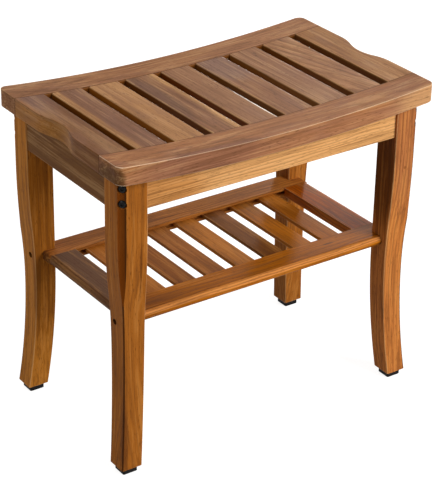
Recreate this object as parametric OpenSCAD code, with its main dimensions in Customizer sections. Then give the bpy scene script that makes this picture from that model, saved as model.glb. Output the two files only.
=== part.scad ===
// Teak shower bench: dished slatted seat on four S-curved legs, with a slatted
// lower shelf. Millimetres. Origin on the floor under the middle of the seat,
// +X along the length, +Y towards the back, +Z up. Nothing on it moves.

/* [Seat] */
// Overall length of the seat, end to end
seat_l = 500; // [440:1:600]
// Overall depth of the seat, front to back
seat_d = 302; // [270:1:360]
// Height of the seat's top face at its two ends
seat_h = 459; // [420:1:520]
// Drop of the seat's top face from its ends to its middle
seat_sag = 12.3; // [6:0.1:20]
// Thickness of the seat's frame boards
seat_t = 25.2; // [22:0.2:30]
// Width of the front and back rails of the seat
rail_w = 46; // [38:0.5:52]
// Width of the two end boards of the seat
end_w = 43.5; // [36:0.5:52]
// Open gap between neighbouring seat boards
slat_gap = 12.3; // [8:0.1:16]
// Thickness of the seven seat slats
slat_t = 16; // [13:0.5:20]
// Half length of the hand-grip scoop in each seat end
scoop_half = 53; // [36:1:62]
// Depth of the hand-grip scoop
scoop_deep = 9.8; // [5:0.2:13]
// Plan radius of the seat's four corners
corner_r = 12; // [5:0.5:18]

/* [Legs] */
// Seat overhang past the foot along the length
over_x = 8.5; // [6:0.5:20]
// Seat overhang past the foot along the depth
over_y = 11; // [6:0.5:20]
// Width of a leg at its foot
foot_w = 31; // [26:0.1:34]
// Width of a leg at its top
top_w = 39.8; // [36:0.1:44]
// Inward offset of the leg's outer face at its top
top_in = 2.5; // [1:0.1:5]
// Inward offset of the leg's outer face at its waist
waist_in = 10.1; // [8.5:0.1:14]
// Height of the waist
waist_z = 182; // [150:1:195]
// Length of the leg's straight top, measured from the top of the seat's ends
straight_l = 110; // [100:1:150]
// Set-back of the cove along the upper outer corner, across its two edges
cove_in = 13.1; // [12:0.1:16]
// Radius of the cove
cove_r = 10; // [8:0.5:16]

/* [Aprons] */
// Depth of the aprons' lower edge below the top of the seat's ends
apron_drop = 75; // [68:1:90]
// Thickness of the four aprons
apron_t = 16; // [14:0.5:20]
// Set-back of the front and back aprons behind the leg faces
apron_in = 4.2; // [1:0.1:6]
// Set-back of the two end aprons behind the leg faces
apron_end_in = 1.6; // [1:0.1:6]

/* [Shelf] */
// Height of the shelf frame's top face
shelf_z = 228.3; // [224:0.1:290]
// Thickness of the shelf frame
shelf_t = 14; // [12:0.5:18]
// Width of the shelf rails and shelf end boards
shelf_w = 41.4; // [36:0.2:48]
// Set-back of the shelf's two ends behind the foot's face
shelf_in_x = 22; // [18:0.5:24]
// Set-back of the shelf's two long edges behind the foot's face
shelf_in_y = 19; // [16:0.5:22]
// Open gap between neighbouring shelf boards
shelf_gap = 17.2; // [10:0.1:22]
// Thickness of the seven shelf slats
shelf_slat_t = 6; // [5:0.5:8]
// Drop of the shelf slats below the frame's top face
shelf_drop = 4.6; // [3.5:0.1:5.5]

/* [Hardware] */
// Diameter of the leg bolts
bolt_d = 6; // [5:0.5:6]
// Depth of the upper leg bolt below the top of the seat's ends
bolt_drop = 39.5; // [36:0.5:44]
// Distance between the two bolts of a leg
bolt_gap = 20.8; // [16:0.1:22]
// Depth of a bolt head's seat behind the edges of the cove
bolt_sink = 3.25; // [2:0.05:4]
// Height of the foot pads
pad_h = 9.2; // [6:0.2:14]
// Inset of a foot pad from the edges of the foot
pad_in = 4.4; // [3:0.1:7]

/* [Hidden] */
$fn = 96;
slats = 7;
// seat arcs: every seat board is cut from one band bent about a line along Y
hl = seat_l / 2;
hd = seat_d / 2;
bend_r = (hl * hl + seat_sag * seat_sag) / (2 * seat_sag);
bend_z = seat_h - seat_sag + bend_r;
in_y = hd - rail_w;
in_x = hl - end_w;
slat_w = (2 * in_x - (slats + 1) * slat_gap) / slats;
slat_step = slat_w + slat_gap;
tong_l = 12;
tong_t = 8;
tong_drop = (slat_t - tong_t) / 2;
tong_side = 4;
fit_gap = 0.2;
end_a = asin((hl - end_w / 2) / bend_r);
// hand-grip scoop: two equal arcs that meet at half its depth
scoop_r = (scoop_half * scoop_half / 4 + scoop_deep * scoop_deep / 4) / scoop_deep;
// legs
foot_x = hl - over_x;
foot_y = hd - over_y;
leg_in = top_in + top_w;
lx = foot_x - leg_in;
ly = foot_y - leg_in;
leg_zi = 205;
knee_z = seat_h - straight_l;
lo_r = (pow(waist_z - pad_h, 2) + pow(waist_in, 2)) / (2 * waist_in);
s_h = (knee_z - waist_z) / 2;
s_q = (waist_in - top_in) / 2;
s_r = (s_h * s_h + s_q * s_q) / (2 * s_q);
in_r = (pow(leg_zi - pad_h, 2) + pow(leg_in - foot_w, 2)) / (2 * (leg_in - foot_w));
flat_i = 10;
// aprons and corner blocks
ax_o = foot_x - top_in - apron_end_in;
ay_o = foot_y - top_in - apron_in;
ax_i = ax_o - apron_t;
ay_i = ay_o - apron_t;
apron_z = seat_h - apron_drop;
block_z = apron_z + 2;
block_reach = 30;
block_k = lx + ly - block_reach;
seat_screw_x = lx - 32;
seat_screw_y = (in_y + ay_i) / 2;
seat_screw_d = 3.2;
seat_screw_tip = under_z(seat_screw_x) + seat_t - tong_drop - tong_t - 3;
// cove along the outer corner: half its width, and how far its axis lies outside its edges
cove_half = (cove_in - 2 * top_in) / sqrt(2);
cove_off = sqrt(cove_r * cove_r - cove_half * cove_half);
// bolts, measured along the diagonal from the seats of their heads
bolt_z = seat_h - bolt_drop;
bolt_x = foot_x - cove_in / 2 - bolt_sink / sqrt(2);
bolt_y = foot_y - cove_in / 2 - bolt_sink / sqrt(2);
bolt_hole = bolt_d + 0.6;
grip = ((foot_x + foot_y - cove_in) - block_k) / sqrt(2) - bolt_sink;
head_d = bolt_d * 1.75;
head_h = bolt_d * 0.55;
head_room = 1.25;
washer_t = 1.6;
nut_h = bolt_d * 0.8;
// shelf
sx_o = foot_x - shelf_in_x;
sy_o = foot_y - shelf_in_y;
sx_i = sx_o - shelf_w;
sy_i = sy_o - shelf_w;
shelf_b = shelf_z - shelf_t;
shelf_slat_w = (2 * sx_i - (slats + 1) * shelf_gap) / slats;
shelf_step = shelf_slat_w + shelf_gap;
groove = 8;
groove_top = shelf_z - shelf_drop;
groove_end = lx + 4;
screw_y = (ly + sy_o) / 2;
screw_z = shelf_z - shelf_t / 2;
screw_d = 4.2;
screw_head = 7.6;
screw_sink = 7;
screw_seat = foot_x - waist_in - screw_sink;
screw_in = 26;
// foot pads
pad_w = foot_w - 2 * pad_in;
pad_screw_d = 2.6;
pad_screw_l = 15;
pad_sink = 3.5;
pad_head = 7;
pad_head_h = 2.3;

// ---------- helpers ----------
// solid whose side view (X across, Z up) is the child, from y0 to y1
module along_y(y0, y1) {
  translate([0, y1, 0]) rotate([90, 0, 0]) linear_extrude(height = y1 - y0) children();
}
// solid whose end view (Y across, Z up) is the child, from x0 to x1
module along_x(x0, x1) {
  translate([x0, 0, 0]) rotate([90, 0, 90]) linear_extrude(height = x1 - x0) children();
}
// copy of a part of the back right corner at corner 0..3
module at_corner(c) {
  if (c == 0) children();
  if (c == 1) mirror([1, 0, 0]) children();
  if (c == 2) mirror([0, 1, 0]) children();
  if (c == 3) mirror([1, 0, 0]) mirror([0, 1, 0]) children();
}
// everything above the seat's bent underside
module above_seat() {
  translate([0, hd + 5, bend_z]) rotate([90, 0, 0])
    cylinder(r = bend_r + seat_t, h = seat_d + 10, $fn = 360);
}
// side view of the bent band between two x positions
module band(x0, x1) {
  intersection() {
    translate([x0, seat_h - seat_sag - seat_t - 5]) square([x1 - x0, seat_t + seat_sag + 20]);
    translate([0, bend_z]) difference() {
      circle(r = bend_r + seat_t, $fn = 360);
      circle(r = bend_r, $fn = 360);
    }
  }
}
// place a child drawn with its top face on z = 0 on the bent top, at angle a
module on_bend(a) {
  translate([0, 0, bend_z]) rotate([0, -a, 0]) translate([0, 0, -bend_r]) children();
}
// height of the seat's bent underside at x
function under_z(x) = bend_z - sqrt(pow(bend_r + seat_t, 2) - x * x);
function slat_a(i) = asin((-in_x + slat_gap + slat_w / 2 + (i - 1) * slat_step) / bend_r);
// tongue (or, grown by g, the mortise) at the back end of a board of width w
module tongue(w, drop, g) {
  translate([-w / 2 + tong_side - g, in_y - 1, -drop - tong_t - g])
    cube([w - 2 * tong_side + 2 * g, tong_l + 1 + 2 * g, tong_t + 2 * g]);
}
module both_ends() {
  children();
  mirror([0, 1, 0]) children();
}

// ---------- seat ----------
module seat_rail() {
  difference() {
    union() {
      along_y(in_y, hd - corner_r) band(-hl, hl);
      along_y(hd - corner_r, hd) band(-hl + corner_r, hl - corner_r);
      // the two rounded outer corners
      for (s = [0, 1]) mirror([s, 0, 0]) intersection() {
        along_y(hd - corner_r, hd + 1) band(hl - corner_r, hl + 1);
        translate([hl - corner_r, hd - corner_r, seat_h - 60]) cylinder(r = corner_r, h = 80);
      }
    }
    for (i = [1:slats]) on_bend(slat_a(i)) tongue(slat_w, tong_drop, fit_gap);
    for (s = [-1, 1]) on_bend(s * end_a) tongue(end_w, (seat_t - tong_t) / 2, fit_gap);
    for (s = [-1, 1]) translate([s * seat_screw_x, seat_screw_y, block_z])
      cylinder(d = seat_screw_d, h = seat_screw_tip + 1 - block_z);
  }
}
module seat_back_rail() color([0.66, 0.45, 0.30]) seat_rail();
module seat_front_rail() color([0.64, 0.44, 0.30]) mirror([0, 1, 0]) seat_rail();

// upright cylinder through the seat that shapes one arc of the hand grip
module grip_arc(x, y) {
  translate([x, y, seat_h - 60]) cylinder(r = scoop_r, h = 80, $fn = 180);
}
// right end board: two square ends, two rounded shoulders, one scooped middle
module seat_end() {
  for (s = [0, 1]) mirror([0, s, 0]) {
    along_y(scoop_half, in_y) band(in_x, hl);
    intersection() {
      along_y(scoop_half / 2, scoop_half) band(in_x, hl + 1);
      grip_arc(hl - scoop_r, scoop_half);
    }
    on_bend(end_a) tongue(end_w, (seat_t - tong_t) / 2, 0);
  }
  difference() {
    along_y(-scoop_half / 2, scoop_half / 2) band(in_x, hl);
    grip_arc(hl - scoop_deep + scoop_r, 0);
  }
}
module seat_end_right() color([0.68, 0.46, 0.31]) seat_end();
module seat_end_left() color([0.62, 0.44, 0.34]) mirror([1, 0, 0]) seat_end();

module seat_slat(i) {
  on_bend(slat_a(i)) {
    translate([-slat_w / 2, -in_y, -slat_t]) cube([slat_w, 2 * in_y, slat_t]);
    both_ends() tongue(slat_w, tong_drop, 0);
  }
}
module seat_slat_1() color([0.66, 0.49, 0.37]) seat_slat(1);
module seat_slat_2() color([0.74, 0.55, 0.36]) seat_slat(2);
module seat_slat_3() color([0.58, 0.42, 0.31]) seat_slat(3);
module seat_slat_4() color([0.65, 0.45, 0.32]) seat_slat(4);
module seat_slat_5() color([0.64, 0.47, 0.37]) seat_slat(5);
module seat_slat_6() color([0.66, 0.46, 0.30]) seat_slat(6);
module seat_slat_7() color([0.70, 0.51, 0.36]) seat_slat(7);

// ---------- aprons and corner blocks ----------
module apron_long() {
  difference() {
    translate([-lx, ay_i, apron_z]) cube([2 * lx, apron_t, seat_h - apron_z]);
    above_seat();
  }
}
module apron_short() {
  difference() {
    translate([ax_i, -ly, apron_z]) cube([apron_t, 2 * ly, seat_h - apron_z]);
    above_seat();
  }
}
module apron_back() color([0.70, 0.48, 0.30]) apron_long();
module apron_front() color([0.78, 0.56, 0.34]) mirror([0, 1, 0]) apron_long();
module apron_right() color([0.62, 0.42, 0.27]) apron_short();
module apron_left() color([0.55, 0.38, 0.26]) mirror([1, 0, 0]) apron_short();

module block() {
  difference() {
    translate([0, 0, block_z]) linear_extrude(height = seat_h - block_z)
      polygon([[lx, ay_i], [lx, ly + flat_i], [lx + flat_i, ly], [ax_i, ly],
               [ax_i, block_k - ax_i], [block_k - ay_i, ay_i]]);
    above_seat();
    bolt_bores();
    translate([seat_screw_x, seat_screw_y, block_z - 1]) cylinder(d = seat_screw_d + 1, h = 80);
    translate([seat_screw_x, seat_screw_y, block_z - 1]) cylinder(d = 8.6, h = 4);
  }
}
module block_back_right() color([0.60, 0.43, 0.28]) at_corner(0) block();
module block_back_left() color([0.60, 0.43, 0.28]) at_corner(1) block();
module block_front_right() color([0.60, 0.43, 0.28]) at_corner(2) block();
module block_front_left() color([0.60, 0.43, 0.28]) at_corner(3) block();

// ---------- legs ----------
// long cylinders that shape a leg: s is the distance of the axis in from the
// outer foot face, z its height; one runs along Y, the other along X
module bow_x(s, z, r) {
  translate([foot_x - s, foot_y + 2, z]) rotate([90, 0, 0]) cylinder(r = r, h = leg_in + 4, $fn = 360);
}
module bow_y(s, z, r) {
  translate([lx - 2, foot_y - s, z]) rotate([0, 90, 0]) cylinder(r = r, h = leg_in + 4, $fn = 360);
}
// square length of leg from z0 to z1, with its outer faces at inset q
module leg_stock(z0, z1, q) {
  translate([lx, ly, z0]) cube([leg_in - q, leg_in - q, z1 - z0]);
}
module leg_bands() {
  // foot to waist: hollowed outside, flared inside
  difference() {
    intersection() {
      leg_stock(pad_h, waist_z, 0);
      bow_x(leg_in - in_r, leg_zi, in_r);
      bow_y(leg_in - in_r, leg_zi, in_r);
    }
    bow_x(waist_in - lo_r, waist_z, lo_r);
    bow_y(waist_in - lo_r, waist_z, lo_r);
  }
  // waist, up to where the inner faces turn straight
  difference() {
    intersection() {
      leg_stock(waist_z, leg_zi, 0);
      bow_x(leg_in - in_r, leg_zi, in_r);
      bow_y(leg_in - in_r, leg_zi, in_r);
    }
    bow_x(waist_in - s_r, waist_z, s_r);
    bow_y(waist_in - s_r, waist_z, s_r);
  }
  difference() {
    leg_stock(leg_zi, waist_z + s_h, 0);
    bow_x(waist_in - s_r, waist_z, s_r);
    bow_y(waist_in - s_r, waist_z, s_r);
  }
  // swelling of the knee, then the straight top
  intersection() {
    leg_stock(waist_z + s_h, knee_z, 0);
    bow_x(top_in + s_r, knee_z, s_r);
    bow_y(top_in + s_r, knee_z, s_r);
  }
  leg_stock(knee_z, seat_h, top_in);
}
module leg() {
  difference() {
    leg_bands();
    // cove along the outer corner, running out above the waist
    translate([foot_x - cove_in / 2, foot_y - cove_in / 2, waist_z]) rotate([0, 0, 45])
      translate([cove_off, 0, 0]) cylinder(r = cove_r, h = seat_h - waist_z);
    // flat on the inner corner where the block bears
    translate([0, 0, block_z]) linear_extrude(height = seat_h - block_z)
      polygon([[lx - 1, ly - 1], [lx + flat_i + 1, ly - 1], [lx - 1, ly + flat_i + 1]]);
    above_seat();
    bolt_bores();
    bolt_seats();
    translate([lx - 1, screw_y, screw_z]) rotate([0, 90, 0]) cylinder(d = screw_d + 0.3, h = leg_in + 2);
    translate([screw_seat, screw_y, screw_z]) rotate([0, 90, 0]) cylinder(d = screw_head + 0.8, h = 20);
    translate([pad_mid(foot_x), pad_mid(foot_y), pad_h - 1]) cylinder(d = pad_screw_d, h = pad_screw_l + 4);
  }
}
function pad_mid(f) = f - foot_w / 2;
module leg_back_right() color([0.66, 0.40, 0.20]) at_corner(0) leg();
module leg_back_left() color([0.58, 0.36, 0.16]) at_corner(1) leg();
module leg_front_right() color([0.70, 0.42, 0.24]) at_corner(2) leg();
module leg_front_left() color([0.68, 0.42, 0.18]) at_corner(3) leg();

// ---------- bolts, washers, nuts, screws ----------
// local +Z runs out of the leg along the diagonal, z = 0 on the seat of the head
module on_seat(z) {
  translate([bolt_x, bolt_y, z]) rotate([0, 0, 45]) rotate([0, 90, 0]) children();
}
module bolt_bores() {
  for (z = [bolt_z, bolt_z - bolt_gap]) on_seat(z)
    translate([0, 0, -grip - 4]) cylinder(d = bolt_hole, h = grip + 12);
}
// round wells that take the heads
module bolt_seats() {
  for (z = [bolt_z, bolt_z - bolt_gap]) on_seat(z) cylinder(d = head_d + 2 * head_room, h = head_d);
}
module bolt() {
  translate([0, 0, -grip - washer_t - nut_h - 2]) cylinder(d = bolt_d, h = grip + washer_t + nut_h + 2 + 1);
  difference() {
    intersection() {
      cylinder(d = head_d, h = head_h);
      translate([0, 0, head_h - head_d * 0.72]) sphere(r = head_d * 0.72);
    }
    translate([0, 0, head_h * 0.45]) rotate([0, 0, 30]) cylinder(d = bolt_d * 0.77, h = head_h, $fn = 6);
  }
}
module washer() {
  translate([0, 0, -grip - washer_t]) difference() {
    cylinder(d = bolt_d * 2, h = washer_t);
    translate([0, 0, -1]) cylinder(d = bolt_hole, h = washer_t + 2);
  }
}
module nut() {
  translate([0, 0, -grip - washer_t - nut_h]) difference() {
    cylinder(d = bolt_d * 1.9, h = nut_h, $fn = 6);
    translate([0, 0, -1]) cylinder(d = bolt_d + 0.1, h = nut_h + 2);
  }
}
module leg_bolts() color([0.07, 0.07, 0.07])
  for (c = [0:3]) at_corner(c) for (z = [bolt_z, bolt_z - bolt_gap]) on_seat(z) bolt();
module bolt_washers() color([0.55, 0.55, 0.56])
  for (c = [0:3]) at_corner(c) for (z = [bolt_z, bolt_z - bolt_gap]) on_seat(z) washer();
module bolt_nuts() color([0.50, 0.50, 0.52])
  for (c = [0:3]) at_corner(c) for (z = [bolt_z, bolt_z - bolt_gap]) on_seat(z) nut();

module seat_screws() color([0.60, 0.60, 0.60])
  for (c = [0:3]) at_corner(c) translate([seat_screw_x, seat_screw_y, block_z + 0.2]) {
    cylinder(d = 7.6, h = 2.8);
    cylinder(d = seat_screw_d, h = seat_screw_tip - block_z - 0.2);
  }
module shelf_screws() color([0.20, 0.18, 0.16])
  for (c = [0:3]) at_corner(c) translate([screw_seat, screw_y, screw_z]) rotate([0, 90, 0]) {
    cylinder(d = screw_head, h = 2.6);
    translate([0, 0, lx - screw_in - screw_seat]) cylinder(d = screw_d, h = screw_seat - lx + screw_in + 1);
  }

// ---------- shelf ----------
// end view of the back shelf rail: across = y, up = z, with a rounded outer edge
module shelf_nose(inner, outer) {
  translate([inner, shelf_b]) square([outer - shelf_t / 2 - inner, shelf_t]);
  translate([outer - shelf_t / 2, shelf_b + shelf_t / 2]) circle(r = shelf_t / 2);
}
module shelf_rail() {
  difference() {
    intersection() {
      along_x(-sx_o, sx_o) shelf_nose(sy_i, sy_o);
      along_y(sy_i - 1, sy_o + 1) union() {
        shelf_nose(-1, sx_o);
        mirror([1, 0]) shelf_nose(-1, sx_o);
      }
    }
    // notches that let the frame sit between the legs
    for (s = [-1, 1]) translate([s > 0 ? lx : -lx - 40, ly, shelf_b - 1]) cube([40, 60, shelf_t + 2]);
    // stopped groove for the slats and end boards
    translate([-groove_end, sy_i - 1, groove_top - shelf_slat_t]) cube([2 * groove_end, groove + 1, shelf_slat_t]);
    for (s = [-1, 1]) translate([s > 0 ? lx - screw_in : -lx - 1, screw_y, screw_z]) rotate([0, 90, 0])
      cylinder(d = screw_d, h = screw_in + 1);
  }
}
module shelf_back_rail() color([0.58, 0.38, 0.22]) shelf_rail();
module shelf_front_rail() color([0.62, 0.40, 0.18]) mirror([0, 1, 0]) shelf_rail();

module shelf_end() {
  along_y(-sy_i, sy_i) shelf_nose(sx_i, sx_o);
  both_ends() translate([sx_i + 4, sy_i - 1, groove_top - shelf_slat_t])
    cube([groove_end - 0.5 - sx_i - 4, groove + 1 - 0.4, shelf_slat_t]);
}
module shelf_end_right() color([0.56, 0.36, 0.26]) shelf_end();
module shelf_end_left() color([0.40, 0.30, 0.25]) mirror([1, 0, 0]) shelf_end();

module shelf_slat(i) {
  translate([-sx_i + shelf_gap + (i - 1) * shelf_step, -sy_i - groove + 0.4, groove_top - shelf_slat_t])
    cube([shelf_slat_w, 2 * (sy_i + groove - 0.4), shelf_slat_t]);
}
module shelf_slat_1() color([0.58, 0.36, 0.22]) shelf_slat(1);
module shelf_slat_2() color([0.52, 0.32, 0.20]) shelf_slat(2);
module shelf_slat_3() color([0.54, 0.34, 0.20]) shelf_slat(3);
module shelf_slat_4() color([0.60, 0.38, 0.20]) shelf_slat(4);
module shelf_slat_5() color([0.46, 0.29, 0.18]) shelf_slat(5);
module shelf_slat_6() color([0.62, 0.39, 0.21]) shelf_slat(6);
module shelf_slat_7() color([0.60, 0.38, 0.18]) shelf_slat(7);

// ---------- foot pads ----------
module pad() {
  translate([pad_mid(foot_x), pad_mid(foot_y), 0]) difference() {
    translate([-pad_w / 2, -pad_w / 2, 0]) cube([pad_w, pad_w, pad_h]);
    translate([0, 0, -1]) cylinder(d = pad_screw_d + 1.4, h = pad_h + 2);
    translate([0, 0, -1]) cylinder(d = pad_head + 1, h = pad_sink + 1);
  }
}
module pad_back_right() color([0.05, 0.05, 0.05]) at_corner(0) pad();
module pad_back_left() color([0.05, 0.05, 0.05]) at_corner(1) pad();
module pad_front_right() color([0.05, 0.05, 0.05]) at_corner(2) pad();
module pad_front_left() color([0.05, 0.05, 0.05]) at_corner(3) pad();
module pad_screws() color([0.60, 0.60, 0.60])
  for (c = [0:3]) at_corner(c) translate([pad_mid(foot_x), pad_mid(foot_y), 0]) {
    translate([0, 0, pad_sink - pad_head_h]) cylinder(d = pad_head, h = pad_head_h);
    translate([0, 0, pad_sink - pad_head_h]) cylinder(d = pad_screw_d, h = pad_h + pad_screw_l);
  }

seat_front_rail();
seat_back_rail();
seat_end_left();
seat_end_right();
seat_slat_1();
seat_slat_2();
seat_slat_3();
seat_slat_4();
seat_slat_5();
seat_slat_6();
seat_slat_7();
apron_front();
apron_back();
apron_left();
apron_right();
leg_front_left();
leg_front_right();
leg_back_left();
leg_back_right();
block_front_left();
block_front_right();
block_back_left();
block_back_right();
leg_bolts();
bolt_washers();
bolt_nuts();
seat_screws();
shelf_front_rail();
shelf_back_rail();
shelf_end_left();
shelf_end_right();
shelf_slat_1();
shelf_slat_2();
shelf_slat_3();
shelf_slat_4();
shelf_slat_5();
shelf_slat_6();
shelf_slat_7();
shelf_screws();
pad_front_left();
pad_front_right();
pad_back_left();
pad_back_right();
pad_screws();
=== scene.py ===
# %% [markdown]
# # A teak shower bench
# The bench has a dished seat of teak boards, four legs with an S curve, aprons, a slatted lower
# shelf, black bolts and black foot pads. The packed model is the fixed frame: it says where each
# piece is. This script gives every piece its rounded edges and its wood, and sets up the picture.
# Everything is in metres, with +Z up, +X along the bench and +Y towards its back.

# %% Load the frame and keep its box
import math

import bmesh
import bpy
from mathutils import Euler, Matrix, Vector


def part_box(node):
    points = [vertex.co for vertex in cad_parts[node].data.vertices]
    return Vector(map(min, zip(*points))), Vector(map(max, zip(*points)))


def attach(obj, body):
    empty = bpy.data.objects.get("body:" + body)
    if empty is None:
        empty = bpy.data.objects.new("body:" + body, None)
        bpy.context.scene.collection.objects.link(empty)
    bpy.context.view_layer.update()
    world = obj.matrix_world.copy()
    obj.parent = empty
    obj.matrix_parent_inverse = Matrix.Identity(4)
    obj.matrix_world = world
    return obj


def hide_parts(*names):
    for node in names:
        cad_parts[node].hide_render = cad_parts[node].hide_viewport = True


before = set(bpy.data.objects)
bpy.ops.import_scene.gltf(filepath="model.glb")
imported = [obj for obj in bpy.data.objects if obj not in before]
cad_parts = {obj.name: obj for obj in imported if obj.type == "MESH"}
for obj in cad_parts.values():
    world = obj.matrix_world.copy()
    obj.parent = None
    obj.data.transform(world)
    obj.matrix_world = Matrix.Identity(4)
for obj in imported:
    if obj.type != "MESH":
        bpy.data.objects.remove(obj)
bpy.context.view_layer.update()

MM = 0.001

# %% [markdown]
# ## Sizes
# The frame already knows where each board lies, so the sizes are read from its boxes and only
# the things that a box can't tell, such as the radius of an edge, are written down here. The
# seat is bent about a line that runs along Y, high above it. Three of its sizes give that line:
# half the length, the sag of the middle, and the height of the ends.

# %% Measure the frame
rail_low, rail_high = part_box("seat_back_rail")
HALF_L, HALF_D, SEAT_H = rail_high.x, rail_high.y, rail_high.z
IN_Y = rail_low.y
IN_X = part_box("seat_end_right")[0].x
slat_low, slat_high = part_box("seat_slat_4")
SAG = SEAT_H - slat_high.z
SLAT_W, SLAT_T = slat_high.x - slat_low.x, slat_high.z - slat_low.z
SEAT_T = slat_high.z - rail_low.z
BEND_R = (HALF_L ** 2 + SAG ** 2) / (2 * SAG)
BEND_Z = SEAT_H - SAG + BEND_R
leg_low, leg_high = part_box("leg_back_right")
LEG_X, LEG_Y = leg_low.x, leg_low.y
FOOT_X, FOOT_Y = leg_high.x, leg_high.y
PAD_H = leg_low.z


def seat_under(x):
    """Height of the bent underside of the seat at x."""
    return BEND_Z - math.sqrt((BEND_R + SEAT_T) ** 2 - x ** 2)


print("sag of the seat:", round(SAG / MM, 1), "mm; radius of its bend:", round(BEND_R / MM), "mm")

# %% [markdown]
# ## The camera
# The photograph looks down at the front left corner from a few metres away with a long lens, so
# the upright legs stay almost parallel. A camera is placed by its eye point and by three turns:
# the heading round Z, the tilt below the horizon, and a slight roll. Its three axes are worked
# out from these turns and written into the camera's matrix. The lens is known in pixels of the
# picture's width, and becomes millimetres on a sensor of the usual 36 mm.

# %% Place the camera
EYE = Vector((-1.29847, -1.85037, 1.39894))
HEADING, TILT, ROLL = (math.radians(a) for a in (35.137, -27.647, 1.102))
PICTURE_W, FOCAL_PIXELS = 435, 1832.25
SENSOR = 36

look = Vector((math.sin(HEADING) * math.cos(TILT), math.cos(HEADING) * math.cos(TILT), math.sin(TILT)))
level = Vector((math.cos(HEADING), -math.sin(HEADING), 0))
upright = level.cross(look)
side = math.cos(ROLL) * level + math.sin(ROLL) * upright
top = math.cos(ROLL) * upright - math.sin(ROLL) * level
lens_data = bpy.data.cameras.new("bench_camera")
lens_data.sensor_fit = "HORIZONTAL"
lens_data.sensor_width = SENSOR
lens_data.lens = FOCAL_PIXELS / PICTURE_W * SENSOR
camera = bpy.data.objects.new("bench_camera", lens_data)
camera.matrix_world = Matrix.Translation(EYE) @ Matrix((side, top, -look)).transposed().to_4x4()
bpy.context.scene.collection.objects.link(camera)
bpy.context.scene.camera = camera
print("lens:", round(lens_data.lens, 1), "mm")

# %% [markdown]
# ## Floor and light
# The bench stands in a white studio. A large soft key lamp in front and to the right lights the
# top and the front alike and leaves the left end about half as bright. A weak lamp low in front
# and one behind fill the shadows, and a slightly warmer one lights the left end. Two small lamps
# behind the right end, one near and low and one far away, skim over the seat and draw thin
# bright lines along the right edges of the slats. The sky light fills the rest.
#
# The floor is pale and matt. A brighter floor or sky would look white by itself, but would also
# flood the wood with light from below and from the sides. So a light path switch lifts them to
# white only where the camera sees them, or sees them in something glossy or clear. The floor
# keeps the bench's soft shadow.

# %% Floor, sky and lamps
SKY_STRENGTH = 0.25
FLOOR_W, FLOOR_TONE, FLOOR_LIFT = 16, 0.36, 0.86
MIDDLE = Vector((0, 0, 0.25))
DAYLIGHT, WARM_LIGHT = (1, 0.97, 0.93), (1, 0.94, 0.86)
LAMPS = {
    "key_lamp": {"place": (1.0, -1.9, 1.4), "size": 1.2, "power": 50},
    "fill_lamp": {"place": (0.2, -2.4, 0.4), "size": 0.9, "power": 6},
    "back_lamp": {"place": (0.2, 2.0, 1.9), "size": 1.0, "power": 14},
    "left_lamp": {"place": (-1.9, -0.3, 1.75), "size": 1.0, "power": 14, "light": WARM_LIGHT},
    "rim_lamp": {"place": (1.65, 1.68, 0.7), "size": 0.16, "power": 10},
    "far_rim_lamp": {"place": (4.76, 5.07, 1.18), "size": 0.5, "power": 30},
}


def soft_lamp(name, place, size, power, light=DAYLIGHT):
    """A square area lamp that faces the middle of the bench."""
    data = bpy.data.lights.new(name, "AREA")
    data.size, data.energy, data.color = size, power, light
    lamp = bpy.data.objects.new(name, data)
    lamp.location = place
    lamp.visible_camera = False
    lamp.rotation_euler = (MIDDLE - Vector(place)).to_track_quat("-Z", "Y").to_euler()
    bpy.context.scene.collection.objects.link(lamp)


def lift_to_white(wires, socket, lift, rest):
    """Give a strength `rest` to the light on the bench, and `lift` more to what shows as background."""
    path = wires.nodes.new("ShaderNodeLightPath")
    seen = path.outputs["Is Camera Ray"]
    for ray in ("Is Glossy Ray", "Is Transmission Ray"):
        either = wires.nodes.new("ShaderNodeMath")
        either.operation = "MAXIMUM"
        wires.links.new(seen, either.inputs[0])
        wires.links.new(path.outputs[ray], either.inputs[1])
        seen = either.outputs[0]
    strength = wires.nodes.new("ShaderNodeMath")
    strength.operation = "MULTIPLY_ADD"
    wires.links.new(seen, strength.inputs[0])
    strength.inputs[1].default_value = lift
    strength.inputs[2].default_value = rest
    wires.links.new(strength.outputs[0], socket)


for name, setting in LAMPS.items():
    soft_lamp(name, **setting)

sky = bpy.data.worlds.new("studio")
bpy.context.scene.world = sky
sky.use_nodes = True
sky_light = sky.node_tree.nodes["Background"]
sky_light.inputs["Color"].default_value = (1, 1, 1, 1)
lift_to_white(sky.node_tree, sky_light.inputs["Strength"], 1 - SKY_STRENGTH, SKY_STRENGTH)

bpy.ops.object.select_all(action="DESELECT")
bpy.ops.mesh.primitive_plane_add(size=FLOOR_W, location=(0, 0, 0))
floor = bpy.context.object
floor.name = "studio_floor"
paint = bpy.data.materials.new("pale_floor")
paint.use_nodes = True
wires = paint.node_tree
matt = wires.nodes["Principled BSDF"]
matt.inputs["Base Color"].default_value = (FLOOR_TONE, FLOOR_TONE, FLOOR_TONE, 1)
matt.inputs["Roughness"].default_value = 1
matt.inputs["Specular IOR Level"].default_value = 0
matt.inputs["Emission Color"].default_value = (1, 1, 1, 1)
lift_to_white(wires, matt.inputs["Emission Strength"], FLOOR_LIFT, 0)
floor.data.materials.append(paint)
bpy.context.scene.view_settings.view_transform = "Standard"
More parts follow.
